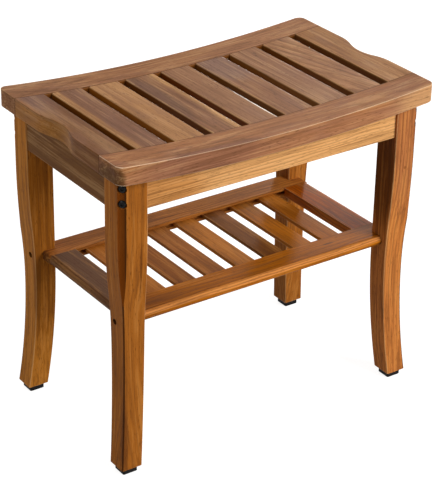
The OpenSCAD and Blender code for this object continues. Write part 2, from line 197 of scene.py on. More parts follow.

# %% [markdown]
# ## Working on a board by hand
# Every straight board starts as a cube primitive stretched to its place. In edit mode its points,
# edges and faces are picked by where they are, and operators move, cut or round them. Real boards
# have no sharp edges, and the thin light line along each rounded edge is what makes a board look
# like wood and not like a diagram.
#
# A finish must know where the wood is rubbed and where shade is to be painted. Painting that by hand
# would be lost with each change of shape, so the faces are marked as they are made, by their
# material slot: plain for broad faces, one for rounded edges, which get wear and a painted highlight,
# one for the walls of the gaps and of the legs' coves, which get painted shade, and joint for edges where
# dirt and shade gather.

# %% Helpers for edit mode
NEAR = 0.02 * MM
SHARP = math.radians(30)
PICKS = {"VERT": "verts", "EDGE": "edges", "FACE": "faces"}
# slots: plain, rounded edges with wear and painted highlight, walls with painted shade, dark joints
PLAIN, WEAR_AND_HIGHLIGHT_MARK, WALL_SHADE_MARK, JOINT = range(4)


def let_go():
    """Leave edit mode and deselect everything."""
    if bpy.context.object and bpy.context.object.mode == "EDIT":
        bpy.ops.object.mode_set(mode="OBJECT")
    bpy.ops.object.select_all(action="DESELECT")


def hold(piece):
    """Select this piece alone and make it the active one."""
    let_go()
    piece.select_set(True)
    bpy.context.view_layer.objects.active = piece


def keep_place(piece):
    """Write the object's place, turn and scale into its mesh."""
    hold(piece)
    bpy.ops.object.transform_apply(location=True, rotation=True, scale=True)


def give_slots(piece):
    """Four empty material slots, one for each mark that a face can have."""
    for _ in (PLAIN, WEAR_AND_HIGHLIGHT_MARK, WALL_SHADE_MARK, JOINT):
        piece.data.materials.append(None)


def new_board(name, low, high):
    """A cube primitive from corner low to corner high, with its place in its mesh."""
    let_go()
    low, high = Vector(low), Vector(high)
    bpy.ops.mesh.primitive_cube_add(size=1, location=(low + high) / 2)
    board = bpy.context.object
    board.name = board.data.name = name
    board.scale = high - low
    keep_place(board)
    give_slots(board)
    return board


def pick(piece, kind, wanted):
    """In edit mode, select the VERT, EDGE or FACE elements that pass the test."""
    if piece.mode != "EDIT":
        hold(piece)
        bpy.ops.object.mode_set(mode="EDIT")
    bpy.ops.mesh.select_mode(type=kind)
    bpy.ops.mesh.select_all(action="DESELECT")
    mesh = bmesh.from_edit_mesh(piece.data)
    found = [element for element in getattr(mesh, PICKS[kind]) if wanted(element)]
    for element in found:
        element.select_set(True)
    bmesh.update_edit_mesh(piece.data)
    return len(found)


def cut_rows(piece, axis, places):
    """Cut the whole piece across one axis at each place, and keep both sides."""
    normal = Vector((0, 0, 0))
    normal[axis] = 1
    for place in places:
        pick(piece, "FACE", lambda face: True)
        bpy.ops.mesh.bisect(plane_co=normal * place, plane_no=normal)


def round_edges(piece, radius, steps, wanted, mark=WEAR_AND_HIGHLIGHT_MARK):
    """Round the sharp edges whose middle passes the test, and mark the new faces."""
    def is_edge(edge):
        if len(edge.link_faces) != 2 or edge.calc_face_angle(0) < SHARP:
            return False
        return wanted((edge.verts[0].co + edge.verts[1].co) / 2)

    if pick(piece, "EDGE", is_edge):
        bpy.ops.mesh.bevel(offset=radius, segments=steps, affect="EDGES", material=mark,
                           clamp_overlap=True)


def mark_faces(piece, slot, wanted):
    """Put the faces that pass the test in a material slot, as a mark."""
    pick(piece, "FACE", wanted)
    piece.active_material_index = slot
    bpy.ops.object.material_slot_assign()


def near(value, place):
    """True where a coordinate lies on a place."""
    return abs(value - place) < NEAR


def copy_of(piece, name, mirror=(1, 1, 1)):
    """A copy with its own mesh, mirrored where a factor is -1, with its faces pointing outwards."""
    hold(piece)
    bpy.ops.object.duplicate()
    twin = bpy.context.object
    twin.name = twin.data.name = name
    twin.scale = mirror
    keep_place(twin)
    bpy.ops.object.mode_set(mode="EDIT")
    bpy.ops.mesh.select_all(action="SELECT")
    bpy.ops.mesh.normals_make_consistent(inside=False)
    bpy.ops.object.mode_set(mode="OBJECT")
    return twin


print("edges over", round(math.degrees(SHARP)), "degrees count as sharp")

# %% [markdown]
# A piece is finished in the same way each time. The marks move from the material slots into
# three face attributes, for wear and painted highlight, for painted wall shade and for joints, which the
# finish reads; the slots are then free for the one material. The faces are shaded smooth up to a sharp
# angle, and weighted normals keep the broad faces flat beside their narrow rounded edges. Then the piece
# takes the place of its node in the frame.
#
# On a rounded edge the middle strip gets the most wear and the most painted highlight. The strips beside
# it face almost the same way as the board's own faces, so they are told apart by their normals.

# %% Finish a piece
SMOOTH = math.radians(40)
BROAD_SIDE, BESIDE_RIDGE = 0.93, 0.15
pieces = []


def mark_of(face, slot):
    """How strongly a face has a mark, from 0 to 1."""
    if face.material_index != slot:
        return 0.0
    if slot == WEAR_AND_HIGHLIGHT_MARK and max(abs(n) for n in face.normal) > BROAD_SIDE:
        return BESIDE_RIDGE
    return 1.0


def done(piece, node, look):
    """Shade a modelled piece, give it its finish and let it stand for its node."""
    let_go()
    for name, slot in (("worn", WEAR_AND_HIGHLIGHT_MARK), ("planed", WALL_SHADE_MARK), ("joint", JOINT)):
        mark = piece.data.attributes.new(name, "FLOAT", "FACE")
        for face, value in zip(piece.data.polygons, mark.data):
            value.value = mark_of(face, slot)
    for face in piece.data.polygons:
        face.material_index = 0
    piece.data.materials.clear()
    piece.data.materials.append(look)
    hold(piece)
    bpy.ops.object.shade_smooth_by_angle(angle=SMOOTH)
    weighted = piece.modifiers.new("weighted", "WEIGHTED_NORMAL")
    weighted.keep_sharp = True
    bpy.ops.object.modifier_apply(modifier=weighted.name)
    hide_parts(node)
    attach(piece, "root")
    pieces.append(piece)


# %% [markdown]
# ## The finish of oiled teak
# Teak grows in rings round the heart of the tree. A board is cut out of that cylinder, so one
# pattern in three dimensions shows lines on its face, arches where the cut runs slanting, and
# curved rings on its end, just as the real board does. An image would need to be unwrapped and
# would not meet at the edges. The recipe works in millimetres: the distance from the heart gives
# the rings, slow noise bends them, each year gets its own tone, and stretched noise gives the
# fibres and the dark open pores. Each board has its own heart, tones and seed, since no two
# boards are cut from the same place.

# %% Tones
def tone(red, green, blue):
    """A colour as it is seen on the wood, from 0 to 255, turned into linear light."""
    def linear(value):
        value /= 255
        return value / 12.92 if value <= 0.04045 else ((value + 0.055) / 1.055) ** 2.4
    return (linear(red), linear(green), linear(blue), 1)


def mixed(first, second, share):
    """A tone between two others."""
    return tuple(a + (b - a) * share for a, b in zip(first, second))


UMBER = tone(84, 50, 27)
PORE = tone(60, 32, 15)
MAUVE = tone(130, 93, 80)
print("umber in linear light:", [round(v, 3) for v in UMBER[:3]])

# %% [markdown]
# A material is a tree of nodes. A small class keeps the tree readable: each method adds one node,
# wires what it is given into it, and returns its output. A number goes into a socket as a value,
# and another node's output goes in as a link.

# %% A small wiring kit
class Finish:
    """A material that is being wired."""

    def __init__(self, name):
        self.material = bpy.data.materials.new(name)
        self.material.use_nodes = True
        self.tree = self.material.node_tree
        self.shader = self.tree.nodes["Principled BSDF"]

    def put(self, socket, value):
        """Link an output to a socket, or set the socket's own value."""
        if isinstance(value, bpy.types.NodeSocket):
            self.tree.links.new(value, socket)
        else:
            socket.default_value = value

    def add(self, kind, inputs, output=0, **settings):
        """One node with its settings and inputs; returns one of its outputs."""
        node = self.tree.nodes.new(kind)
        for name, value in settings.items():
            setattr(node, name, value)
        for name, value in inputs.items():
            self.put(node.inputs[name], value)
        return node.outputs[output]

    def math(self, operation, first, second=0.0, third=0.0):
        """A sum with up to three numbers."""
        return self.add("ShaderNodeMath", {0: first, 1: second, 2: third}, operation=operation)

    def span(self, value, low, high, to_low=0.0, to_high=1.0):
        """Map low..high to to_low..to_high, smoothly and with clamped ends."""
        inputs = {"Value": value, "From Min": low, "From Max": high, "To Min": to_low, "To Max": to_high}
        return self.add("ShaderNodeMapRange", inputs, interpolation_type="SMOOTHSTEP")

    def noise(self, place, stretch, detail=2.0, rough=0.5):
        """Noise whose grains are as long, in millimetres, as stretch says along each axis."""
        shrink = tuple(1 / length for length in stretch)
        grains = self.add("ShaderNodeVectorMath", {0: place, 1: shrink}, operation="MULTIPLY")
        inputs = {"Vector": grains, "Scale": 1.0, "Detail": detail, "Roughness": rough}
        return self.add("ShaderNodeTexNoise", inputs)

    def line_noise(self, kind, number, **inputs):
        """Noise that changes with one number only."""
        return self.add(kind, {"W": number, **inputs}, noise_dimensions="1D")

    def parts(self, vector):
        """The three numbers of a vector, by axis."""
        node = self.tree.nodes.new("ShaderNodeSeparateXYZ")
        self.put(node.inputs[0], vector)
        return dict(zip("XYZ", node.outputs))

    def off(self, noise):
        """How far a noise lies from its middle."""
        return self.math("SUBTRACT", noise, 0.5)

    def mark(self, name):
        """A face mark of the piece, from 0 to 1."""
        return self.add("ShaderNodeAttribute", {}, output=2, attribute_name=name)

    def blend(self, share, first, second):
        """Mix two colours by a share."""
        node = self.tree.nodes.new("ShaderNodeMix")
        node.data_type = "RGBA"
        self.put(node.inputs[0], share)
        self.put(node.inputs[6], first)
        self.put(node.inputs[7], second)
        return node.outputs[2]


print("methods of a finish:", [name for name in vars(Finish) if not name.startswith("_")])

# %% [markdown]
# The teak recipe itself. The grain runs along one axis, and the other two are the board's width
# and thickness. `heart` is where the middle of the tree lies from the middle of the board, so a
# far heart gives straight lines and a near one gives arches. `lean` turns the tree a little
# against the board. `depth` says how far the dark and pale parts lie from the base tone, `lines`
# how strong the lines between two years are, and `fibres` how stripy the wood is. `sap` is the
# tone of the pale parts, and `mauve` lets parts of a board turn grey and reddish, as sun and
# water do to teak.
#
# Patches are soft round clouds in the solid wood, each with a centre and three radii in
# millimetres, a tone and a share: a long one is a strip of sapwood or a painted highlight along an edge,
# a wide one lets a board change its tone along its length or lays painted light or painted shade on part
# of it, and a tiny one is a knot or a painted shadow where a rail meets a leg.
#
# The face marks come last. Rounded edges get smoother and turn towards their pale tone by their
# share; this pale line is partly wear and partly a painted highlight. Joints get dark, partly from dirt
# and, in the legs' hollows, from painted shade. The walls of the gaps and the coves take a tone of
# painted shade, up to a share, the more the deeper they lie below the bent top of the seat, because a
# wall deep in a gap is lit only by the brown wood opposite.

# %% The numbers of the teak recipe
GRAIN = {"X": ("Y", "Z", "X"), "Y": ("X", "Z", "Y"), "Z": ("X", "Y", "Z")}
# the third tone is a near white for rounded edges, partly wear and partly painted highlight
HONEY, AMBER, RUB_AND_HIGHLIGHT = tone(236, 190, 136), tone(230, 162, 84), tone(240, 212, 182)
OIL_TINT, SATIN = (1.0, 0.66, 0.36, 1), 0.03
# the grains of each noise in millimetres: twice across the board, then along it
WANDER, RIPPLE, CLOUD, STREAK = (40, 40, 300), (9, 9, 60), (26, 26, 120), (3.2, 3.2, 150)
FIBRE, OPEN_PORE, BLEACH = (0.9, 0.9, 30), (1.1, 1.1, 9), (18, 18, 60)
WANDER_REACH, RIPPLE_REACH, BAND_W, SEED_STEP = 30.0, 1.6, 13.0, 1000
# how much each pattern changes the wood from dark to pale
BY_BAND, BY_YEAR, BY_CLOUD, BY_STREAK, BY_FIBRE = 0.9, 0.16, 1.3, 1.45, 0.65
# how strong the darkest wood, the palest wood, the pores, and the dirt and painted shade in a joint are
DARKEST, PALEST, PORE_SHARE, GRIME_AND_SHADE = 0.74, 0.42, 0.5, 0.85
# painted shade on the walls: where it starts below the top, where it is full, and how much of it lies at
# the top
WALL_SHADE_FROM, WALL_SHADE_TO, WALL_SHADE_LEAST = 0.5 * MM, 4 * MM, 0.55
ROUGH_LEAST, ROUGH_MOST, RUBBED_SMOOTH = 0.4, 0.52, 0.33
# between which values of its noise or its distance each pattern starts and is full
MOST, PORE_SPAN, BLEACH_SPAN, PATCH_SPAN = (0.3, 0.7), (0.60, 0.74), (0.48, 0.66), (0.55, 1.05)
DARK_SPAN, PALE_SPAN, LINE_RISE, LINE_FALL = (0.14, 0.5), (0.5, 0.86), (0.0, 0.08), (0.14, 0.62)
YEAR_SPAN, FAINT_YEAR, RAGGED, WIRY = (0.1, 0.9), 0.35, 0.5, 0.6
FIBRE_RISE, PORE_SINK, LINE_SINK, RELIEF, RELIEF_H = 0.6, 0.5, 0.35, 0.3, 0.2 * MM
print("teak grain axes:", GRAIN)

# %% [markdown]
# The recipe is long, so the parts of it that can be told apart are functions. Each one adds its
# nodes to the same tree and returns an output that the recipe goes on with. They could be node
# groups as well, but a group has to be opened to see what it does, and a function reads in place.

# %% Steps of the teak recipe
def length_of(wood, first, second):
    """Length of the flat vector that two numbers make."""
    squares = [wood.math("MULTIPLY", number, number) for number in (first, second)]
    return wood.math("SQRT", wood.math("ADD", *squares))


def into_tree(wood, place, node, grain, heart, lean, seed):
    """Places in the tree in millimetres: its heart runs along Z, and each seed is another height."""
    low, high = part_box(node)
    middle = dict(zip("XYZ", (low + high) / (2 * MM)))
    parts = wood.parts(place)
    board = wood.add("ShaderNodeCombineXYZ", {n: parts[axis] for n, axis in zip("XYZ", GRAIN[grain])})
    local = wood.add("ShaderNodeMapping", {"Vector": board, "Scale": (1 / MM, 1 / MM, 1 / MM),
                                           "Location": tuple(-middle[axis] for axis in GRAIN[grain])})
    turn = (math.radians(lean[0]), math.radians(lean[1]), 0)
    return wood.add("ShaderNodeMapping", {"Vector": local, "Rotation": turn,
                                          "Location": (*heart, SEED_STEP * seed)})


def year_line(wood, growth, year_tone):
    """The dark line between two years: a quick rise, a slow fall, and another strength each year."""
    phase = wood.math("FRACT", growth)
    line = wood.math("MULTIPLY", wood.span(phase, *LINE_RISE), wood.span(phase, *LINE_FALL, 1.0, 0.0))
    return wood.math("MULTIPLY", line, wood.span(year_tone, *YEAR_SPAN, FAINT_YEAR, 1.0))


def lay_patch(wood, place, base, ragged_by, centre, radii, patch_tone, share):
    """Blend one soft cloud with ragged borders into the base tone."""
    inputs = {"Vector": place, "Location": tuple(-c / r for c, r in zip(centre, radii)),
              "Scale": tuple(1 / (r * MM) for r in radii)}
    gap = wood.add("ShaderNodeMapping", inputs)
    away = wood.add("ShaderNodeVectorMath", {0: gap}, output=1, operation="LENGTH")
    ragged = wood.math("MULTIPLY_ADD", wood.off(ragged_by), RAGGED, away)
    return wood.blend(wood.span(ragged, *PATCH_SPAN, share, 0.0), base, patch_tone)


def planed_share(wood, place, wall_shade_most):
    """How strongly a marked wall takes its painted shade, from the depth below the bent top of the seat.
    """
    parts = wood.parts(place)
    bend = wood.math("MULTIPLY", parts["X"], parts["X"])
    bend = wood.math("MULTIPLY_ADD", bend, 0.5 / BEND_R, SEAT_H - SAG)
    depth = wood.math("SUBTRACT", bend, parts["Z"])
    depth = wood.span(depth, WALL_SHADE_FROM, WALL_SHADE_TO, WALL_SHADE_LEAST * wall_shade_most, wall_shade_most)
    return wood.math("MULTIPLY", wood.mark("planed"), depth)


# the depth at which the painted shade on the walls is full
print("planed walls reach their tone", WALL_SHADE_TO / MM, "mm below the top")

# %% [markdown]
# Now the whole recipe in its order: the place in the tree, the rings, the patterns, the tone from
# dark through base to pale, the marked faces, and last the gloss and a shallow relief. The same
# fibre noise gives tone, gloss and relief, since on real wood these belong to the same fibre.

# %% The teak recipe
def teak(node, grain, base, depth=0.5, lines=0.3, ring=4.0, heart=(60, 70), lean=(0.8, 0.5),
         fibres=1.0, seed=0.0, patches=(), sap=HONEY, mauve=0.0, worn=0.4, wear_and_highlight_tone=HONEY, planed=None,
         wall_shade_most=1.0):
    """The finish of one teak board."""
    wood = Finish(f"teak_{node}")
    place = wood.add("ShaderNodeTexCoord", {}, output=3)
    tree = into_tree(wood, place, node, grain, heart, lean, seed)
    spot = wood.parts(tree)

    # rings round the heart, bent by slow noise
    radius = length_of(wood, spot["X"], spot["Y"])
    radius = wood.math("MULTIPLY_ADD", wood.noise(tree, WANDER), WANDER_REACH, radius)
    radius = wood.math("MULTIPLY_ADD", wood.noise(tree, RIPPLE, 1.0), RIPPLE_REACH, radius)
    growth = wood.math("DIVIDE", radius, ring)
    year_tone = wood.line_noise("ShaderNodeTexWhiteNoise", wood.math("FLOOR", growth))
    line = year_line(wood, growth, year_tone)

    # broad bands, clouds, fibres and pores
    bands = wood.math("DIVIDE", radius, BAND_W)
    broad = wood.line_noise("ShaderNodeTexNoise", bands, Scale=1.0, Detail=1.0)
    cloud = wood.noise(tree, CLOUD)
    streak = wood.noise(tree, STREAK, rough=WIRY)
    fibre = wood.noise(tree, FIBRE, rough=WIRY)
    pores = wood.span(wood.noise(tree, OPEN_PORE, 1.0), *PORE_SPAN)

    # from dark through base to pale
    level = 0.5
    for pattern, share in ((broad, BY_BAND), (year_tone, BY_YEAR), (cloud, BY_CLOUD),
                           (streak, BY_STREAK * fibres), (fibre, BY_FIBRE * fibres)):
        level = wood.math("MULTIPLY_ADD", wood.off(pattern), share, level)
    for patch in patches:
        base = lay_patch(wood, place, base, streak, *patch)
    if mauve:
        bleached = wood.span(wood.noise(tree, BLEACH), *BLEACH_SPAN, 0.0, mauve)
        base = wood.blend(bleached, base, MAUVE)
    dark = wood.blend(DARKEST * depth, base, UMBER)
    pale = wood.blend(PALEST * depth, base, sap)
    colour = wood.blend(wood.span(level, *DARK_SPAN), dark, base)
    colour = wood.blend(wood.span(level, *PALE_SPAN), colour, pale)
    colour = wood.blend(wood.math("MULTIPLY", line, lines), colour, UMBER)
    colour = wood.blend(wood.math("MULTIPLY", pores, PORE_SHARE), colour, PORE)

    # marked faces: wear and painted highlight on rounded edges, dirt and painted shade in joints, painted
    # shade on walls
    wear_and_highlight_share = wood.math("MULTIPLY", wood.mark("worn"), wood.span(cloud, *MOST, 0.5 * worn, worn))
    colour = wood.blend(wear_and_highlight_share, colour, wear_and_highlight_tone)
    colour = wood.blend(wood.math("MULTIPLY", wood.mark("joint"), GRIME_AND_SHADE), colour, PORE)
    if planed:
        colour = wood.blend(planed_share(wood, place, wall_shade_most), colour, planed)
    wood.put(wood.shader.inputs["Base Color"], colour)

    # a satin oil, and relief from fibres, pores and lines
    rough = wood.span(fibre, *MOST, ROUGH_LEAST, ROUGH_MOST)
    rough = wood.math("MULTIPLY_ADD", wood.mark("worn"), -RUBBED_SMOOTH, rough)
    wood.put(wood.shader.inputs["Roughness"], rough)
    wood.shader.inputs["Specular IOR Level"].default_value = SATIN
    wood.shader.inputs["Specular Tint"].default_value = OIL_TINT
    relief = wood.math("MULTIPLY", fibre, FIBRE_RISE)
    relief = wood.math("SUBTRACT", relief, wood.math("MULTIPLY", pores, PORE_SINK))
    relief = wood.math("SUBTRACT", relief, wood.math("MULTIPLY", line, LINE_SINK))
    grooves = wood.add("ShaderNodeBump", {"Height": relief, "Strength": RELIEF, "Distance": RELIEF_H})
    wood.put(wood.shader.inputs["Normal"], grooves)
    return wood.material


print("rings wander by", WANDER_REACH, "mm")

# %% [markdown]
# ## The seat frame
# The seat dips towards its middle, so water runs off its ends and a sitter is held. All its
# frame boards are cut from one bent slab. Such a slab could be made by bending a flat one with a
# modifier, but its thickness would then depend on the modifier's axis and limits. Here a
# rectangle is spun about the axis of the bend instead, a little too far, and its ends are then
# sawn square, which is also what a joiner does.

# %% Bend a slab
BEND_STEPS = 36
OVERSHOOT = 1.002


def saw_off(piece, point, outward):
    """Cut the whole piece with a plane, remove what lies outside it and close the cut."""
    pick(piece, "FACE", lambda face: True)
    bpy.ops.mesh.bisect(plane_co=point, plane_no=outward, clear_outer=True, use_fill=True)


def bent_slab(name, y_low, y_high):
    """A slab between two y places, bent about the seat's axis, with its ends sawn square."""
    let_go()
    reach = math.asin(HALF_L / BEND_R) * OVERSHOOT
    middle = BEND_R + SEAT_T / 2
    spot = (middle * math.sin(reach), (y_low + y_high) / 2, BEND_Z - middle * math.cos(reach))
    bpy.ops.mesh.primitive_plane_add(size=1, location=spot, rotation=(0, math.pi / 2 - reach, 0))
    slab = bpy.context.object
    slab.name = slab.data.name = name
    slab.scale = (SEAT_T, y_high - y_low, 1)
    keep_place(slab)
    give_slots(slab)
    pick(slab, "FACE", lambda face: True)
    bpy.ops.mesh.spin(steps=BEND_STEPS, angle=2 * reach, center=(0, 0, BEND_Z), axis=(0, -1, 0))
    for side in (-1, 1):
        saw_off(slab, (side * HALF_L, 0, 0), (side, 0, 0))
    pick(slab, "FACE", lambda face: True)
    bpy.ops.mesh.normals_make_consistent(inside=False)
    return slab


print("slab bends in", BEND_STEPS, "steps")

# %% [markdown]
# The two long rails run from end to end. Their outer corners are cut round in plan, their outer
# edges are rounded well, because hands and legs touch them, and their inner edges only lose
# their sharpness, so each joint with a slat shows as a thin dark line. The inner faces are marked
# for painted shade. The front rail is a mirrored copy of the back one, because a copy can't drift apart
# from its model.

# %% Seat rails
CORNER_R, CORNER_STEPS = 12 * MM, 8
HAND_R, EASED_R, TOUCH_R = 2.2 * MM, 1.0 * MM, 0.5 * MM


def seat_rail(name):
    """The back rail of the seat, rounded and marked."""
    rail = bent_slab(name, IN_Y, HALF_D)
    round_edges(rail, CORNER_R, CORNER_STEPS,
                lambda p: near(abs(p.x), HALF_L) and near(p.y, HALF_D), mark=PLAIN)
    round_edges(rail, HAND_R, 3, lambda p: p.y > IN_Y + MM)
    round_edges(rail, TOUCH_R, 2, lambda p: near(p.y, IN_Y), mark=JOINT)
    # the inner face gets painted shade
    mark_faces(rail, WALL_SHADE_MARK, lambda f: near(f.calc_center_median().y, IN_Y))
    let_go()
    return rail


seat_back = seat_rail("seat_back_rail_teak")
seat_front = copy_of(seat_back, "seat_front_rail_teak", (1, -1, 1))
print("faces in a seat rail:", len(seat_front.data.polygons))

# %% [markdown]
# The two end boards close the seat between the rails. Each has a shallow scoop in its outer edge
# that serves as a hand grip. The scoop could be cut with a boolean, but the rounded edge would
# then be hard to run along it. Instead the board gets rows of cuts, and the outer end of each row
# moves inwards along two equal arcs that meet without a kink.

# %% Seat end boards
SCOOP_HALF, SCOOP_DEEP, SCOOP_ROWS = 53 * MM, 9.8 * MM, 28
SCOOP_R = (SCOOP_HALF ** 2 + SCOOP_DEEP ** 2) / (4 * SCOOP_DEEP)
END_SLOPE = HALF_L / math.sqrt(BEND_R ** 2 - HALF_L ** 2)
OUTER_X = IN_X + 15 * MM


def scoop(y):
    """Depth of the hand grip at y."""
    off = abs(y)
    if off >= SCOOP_HALF:
        return 0.0
    if off >= SCOOP_HALF / 2:
        return SCOOP_R - math.sqrt(SCOOP_R ** 2 - (SCOOP_HALF - off) ** 2)
    return SCOOP_DEEP - (SCOOP_R - math.sqrt(SCOOP_R ** 2 - off ** 2))


def seat_end(name):
    """The right end board of the seat, with its hand grip."""
    board = bent_slab(name, -IN_Y, IN_Y)
    saw_off(board, (IN_X, 0, 0), (-1, 0, 0))
    rows = [SCOOP_HALF * (2 * i / SCOOP_ROWS - 1) for i in range(SCOOP_ROWS + 1)]
    cut_rows(board, 1, rows)
    for y in rows[1:-1]:
        pick(board, "VERT", lambda v: near(v.co.x, HALF_L) and near(v.co.y, y))
        bpy.ops.transform.translate(value=(-scoop(y), 0, -scoop(y) * END_SLOPE))
    round_edges(board, HAND_R, 3, lambda p: p.x > OUTER_X and abs(p.y) < IN_Y - MM)
    round_edges(board, EASED_R, 2, lambda p: p.x < IN_X + MM and abs(p.y) < IN_Y - MM)
    round_edges(board, TOUCH_R, 2, lambda p: near(abs(p.y), IN_Y), mark=JOINT)
    # the inner face gets painted shade
    mark_faces(board, WALL_SHADE_MARK, lambda f: near(f.calc_center_median().x, IN_X))
    let_go()
    return board


end_right = seat_end("seat_end_right_teak")
end_left = copy_of(end_right, "seat_end_left_teak", (-1, 1, 1))
print("scoop in the middle:", round(scoop(0) / MM, 1), "mm")

# %% [markdown]
# ## The seat slats
# Seven equal slats bridge the gap between the rails. One is modelled flat at the origin with its
# top on z = 0 and copied. Each copy is turned and set on the bent top. The turn must be written
# into the mesh, because the finish reads places in the object's own space and would otherwise
# tilt with it. Their long top edges are rounded like a pencil, which gives the light lines beside
# each gap, made paler by wear and a painted highlight. Their long sides are marked for painted shade, and
# the edges of their ends as joints.

# %% Seat slats
SLAT_COUNT, SLAT_ROUND = 7, 1.8 * MM
slat_model = new_board("slat_model", (-SLAT_W / 2, -IN_Y, -SLAT_T), (SLAT_W / 2, IN_Y, 0))
round_edges(slat_model, SLAT_ROUND, 4, lambda p: near(p.z, 0) and near(abs(p.x), SLAT_W / 2))
round_edges(slat_model, EASED_R, 2, lambda p: near(p.z, -SLAT_T) and near(abs(p.x), SLAT_W / 2))
round_edges(slat_model, TOUCH_R, 2, lambda p: near(abs(p.y), IN_Y), mark=JOINT)
# the long sides get painted shade
mark_faces(slat_model, WALL_SHADE_MARK, lambda f: near(abs(f.calc_center_median().x), SLAT_W / 2))
let_go()
slats = []
for number in range(1, SLAT_COUNT + 1):
    low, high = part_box(f"seat_slat_{number}")
    lean = math.asin((low.x + high.x) / 2 / (BEND_R + SLAT_T / 2))
    slat = copy_of(slat_model, f"seat_slat_{number}_teak")
    slat.rotation_euler = (0, -lean, 0)
    slat.location = (BEND_R * math.sin(lean), 0, BEND_Z - BEND_R * math.cos(lean))
    keep_place(slat)
    slats.append(slat)
bpy.data.objects.remove(slat_model)
print("slats:", len(slats))

# %% [markdown]
# ## The aprons
# Four upright boards under the seat join the legs. Their tops follow the bent underside of the
# seat. A boolean with the slab could cut them to it, but would leave long thin faces. So the
# long ones get a row of cuts whose top points are moved onto the bend, and the short ones, which
# lie along the axis of the bend, have just their corners moved. Their lower edges are rounded a
# little.

# %% Aprons
APRON_ROWS = 24
APRON_ROUND = 1.4 * MM


def move_points(piece, wanted, step):
    """Move the points that pass the test."""
    pick(piece, "VERT", wanted)
    bpy.ops.transform.translate(value=step)


def apron(name, node, long_way):
    """An apron in the box of its node; a long one gets a row of cuts."""
    low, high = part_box(node)
    board = new_board(name, low, high)
    if long_way:
        columns = [low.x + (high.x - low.x) * i / APRON_ROWS for i in range(APRON_ROWS + 1)]
        cut_rows(board, 0, columns[1:-1])
    else:
        columns = [low.x, high.x]
    for x in columns:
        step = (0, 0, seat_under(x) - high.z)
        move_points(board, lambda v: near(v.co.z, high.z) and near(v.co.x, x), step)
    round_edges(board, APRON_ROUND, 3, lambda p: near(p.z, low.z))
    let_go()
    return board


apron_back = apron("apron_back_teak", "apron_back", True)
apron_front = copy_of(apron_back, "apron_front_teak", (1, -1, 1))
apron_right = apron("apron_right_teak", "apron_right", False)
apron_left = copy_of(apron_right, "apron_left_teak", (-1, 1, 1))

# %% [markdown]
# ## The legs
# Each leg is sawn from a square post. Its two outer faces follow an S curve: wide at the foot,
# slimmest at the waist, and swelling again below the seat. The inner faces flare only near the
# foot. The post is cut across at many heights, and each ring of four corners is scaled about the
# outer corner and moved in. A lattice or a curve modifier could bend it too, but rings give the
# exact offset that the frame has at each height. The outer faces are made of arcs that meet
# without a kink, so the shading stays smooth.

# %% The leg's profile
WAIST_IN, TOP_IN, FOOT_W, TOP_W = 10.1 * MM, 2.5 * MM, 31 * MM, 39.8 * MM
WAIST_Z, KNEE_Z, FLARE_Z = 182 * MM, 349 * MM, 205 * MM
LEG_STEPS = 52


def arc(reach, rise, at):
    """Fall of an arc below its top, `at` away from it, where it falls by rise over reach."""
    radius = (reach ** 2 + rise ** 2) / (2 * rise)
    return radius - math.sqrt(radius ** 2 - at ** 2)


def outer_inset(z):
    """How far the outer faces lie inside the foot's outer face at height z."""
    half_way, half_rise = (KNEE_Z - WAIST_Z) / 2, (WAIST_IN - TOP_IN) / 2
    if z <= WAIST_Z:
        return WAIST_IN - arc(WAIST_Z - PAD_H, WAIST_IN, WAIST_Z - z)
    if z <= WAIST_Z + half_way:
        return WAIST_IN - arc(half_way, half_rise, z - WAIST_Z)
    if z <= KNEE_Z:
        return TOP_IN + arc(half_way, half_rise, KNEE_Z - z)
    return TOP_IN


def inner_inset(z):
    """How far the inner faces lie inside the foot's outer face at height z."""
    straight = TOP_IN + TOP_W
    return straight - (arc(FLARE_Z - PAD_H, straight - FOOT_W, FLARE_Z - z) if z < FLARE_Z else 0)


print("leg at the waist:", round((inner_inset(WAIST_Z) - outer_inset(WAIST_Z)) / MM, 1), "mm wide")

# %% [markdown]
# A leg starts as a post that is a little too long. It is bent ring by ring as above, its top
# corners are lowered onto the underside of the seat, and its four long edges are rounded before
# anything is cut into it, because a bevel runs cleanly only along whole edges.

# %% Shape a leg
LEG_SPARE, LEG_ROUND, FOOT_ROUND = 1 * MM, 1.8 * MM, 0.8 * MM
leg_top = leg_high.z + LEG_SPARE
leg = new_board("leg_model", (LEG_X, LEG_Y, PAD_H), (FOOT_X, FOOT_Y, leg_top))
bow_rows = [PAD_H + (KNEE_Z - PAD_H) * i / LEG_STEPS for i in range(LEG_STEPS + 1)]
cut_rows(leg, 2, bow_rows[1:])
full = FOOT_X - LEG_X
for z in bow_rows + [leg_top]:
    pick(leg, "VERT", lambda v: near(v.co.z, z))
    share = (inner_inset(z) - outer_inset(z)) / full
    bpy.ops.transform.resize(value=(share, share, 1), center_override=(FOOT_X, FOOT_Y, z))
    bpy.ops.transform.translate(value=(-outer_inset(z), -outer_inset(z), 0))
for x in (LEG_X, FOOT_X - TOP_IN):
    step = (0, 0, seat_under(x) - leg_top)
    move_points(leg, lambda v: near(v.co.z, leg_top) and near(v.co.x, x), step)
round_edges(leg, LEG_ROUND, 4, lambda p: PAD_H + MM < p.z < seat_under(LEG_X) - MM)
round_edges(leg, FOOT_ROUND, 2, lambda p: near(p.z, PAD_H))
let_go()
print("leg faces:", len(leg.data.polygons))

# %% [markdown]
# A shallow cove is run down the upper outer corner with a round cutter. It runs out in a point
# where the leg turns in to its waist. The bolts go into round wells in this cove, so their heads
# don't stand out. A round recess in the outer end face holds the screw of the shelf. These cuts
# are made with booleans, because a clean round cut in a curved face is hard to get any other
# way, and a cutter is also what makes them in the workshop.

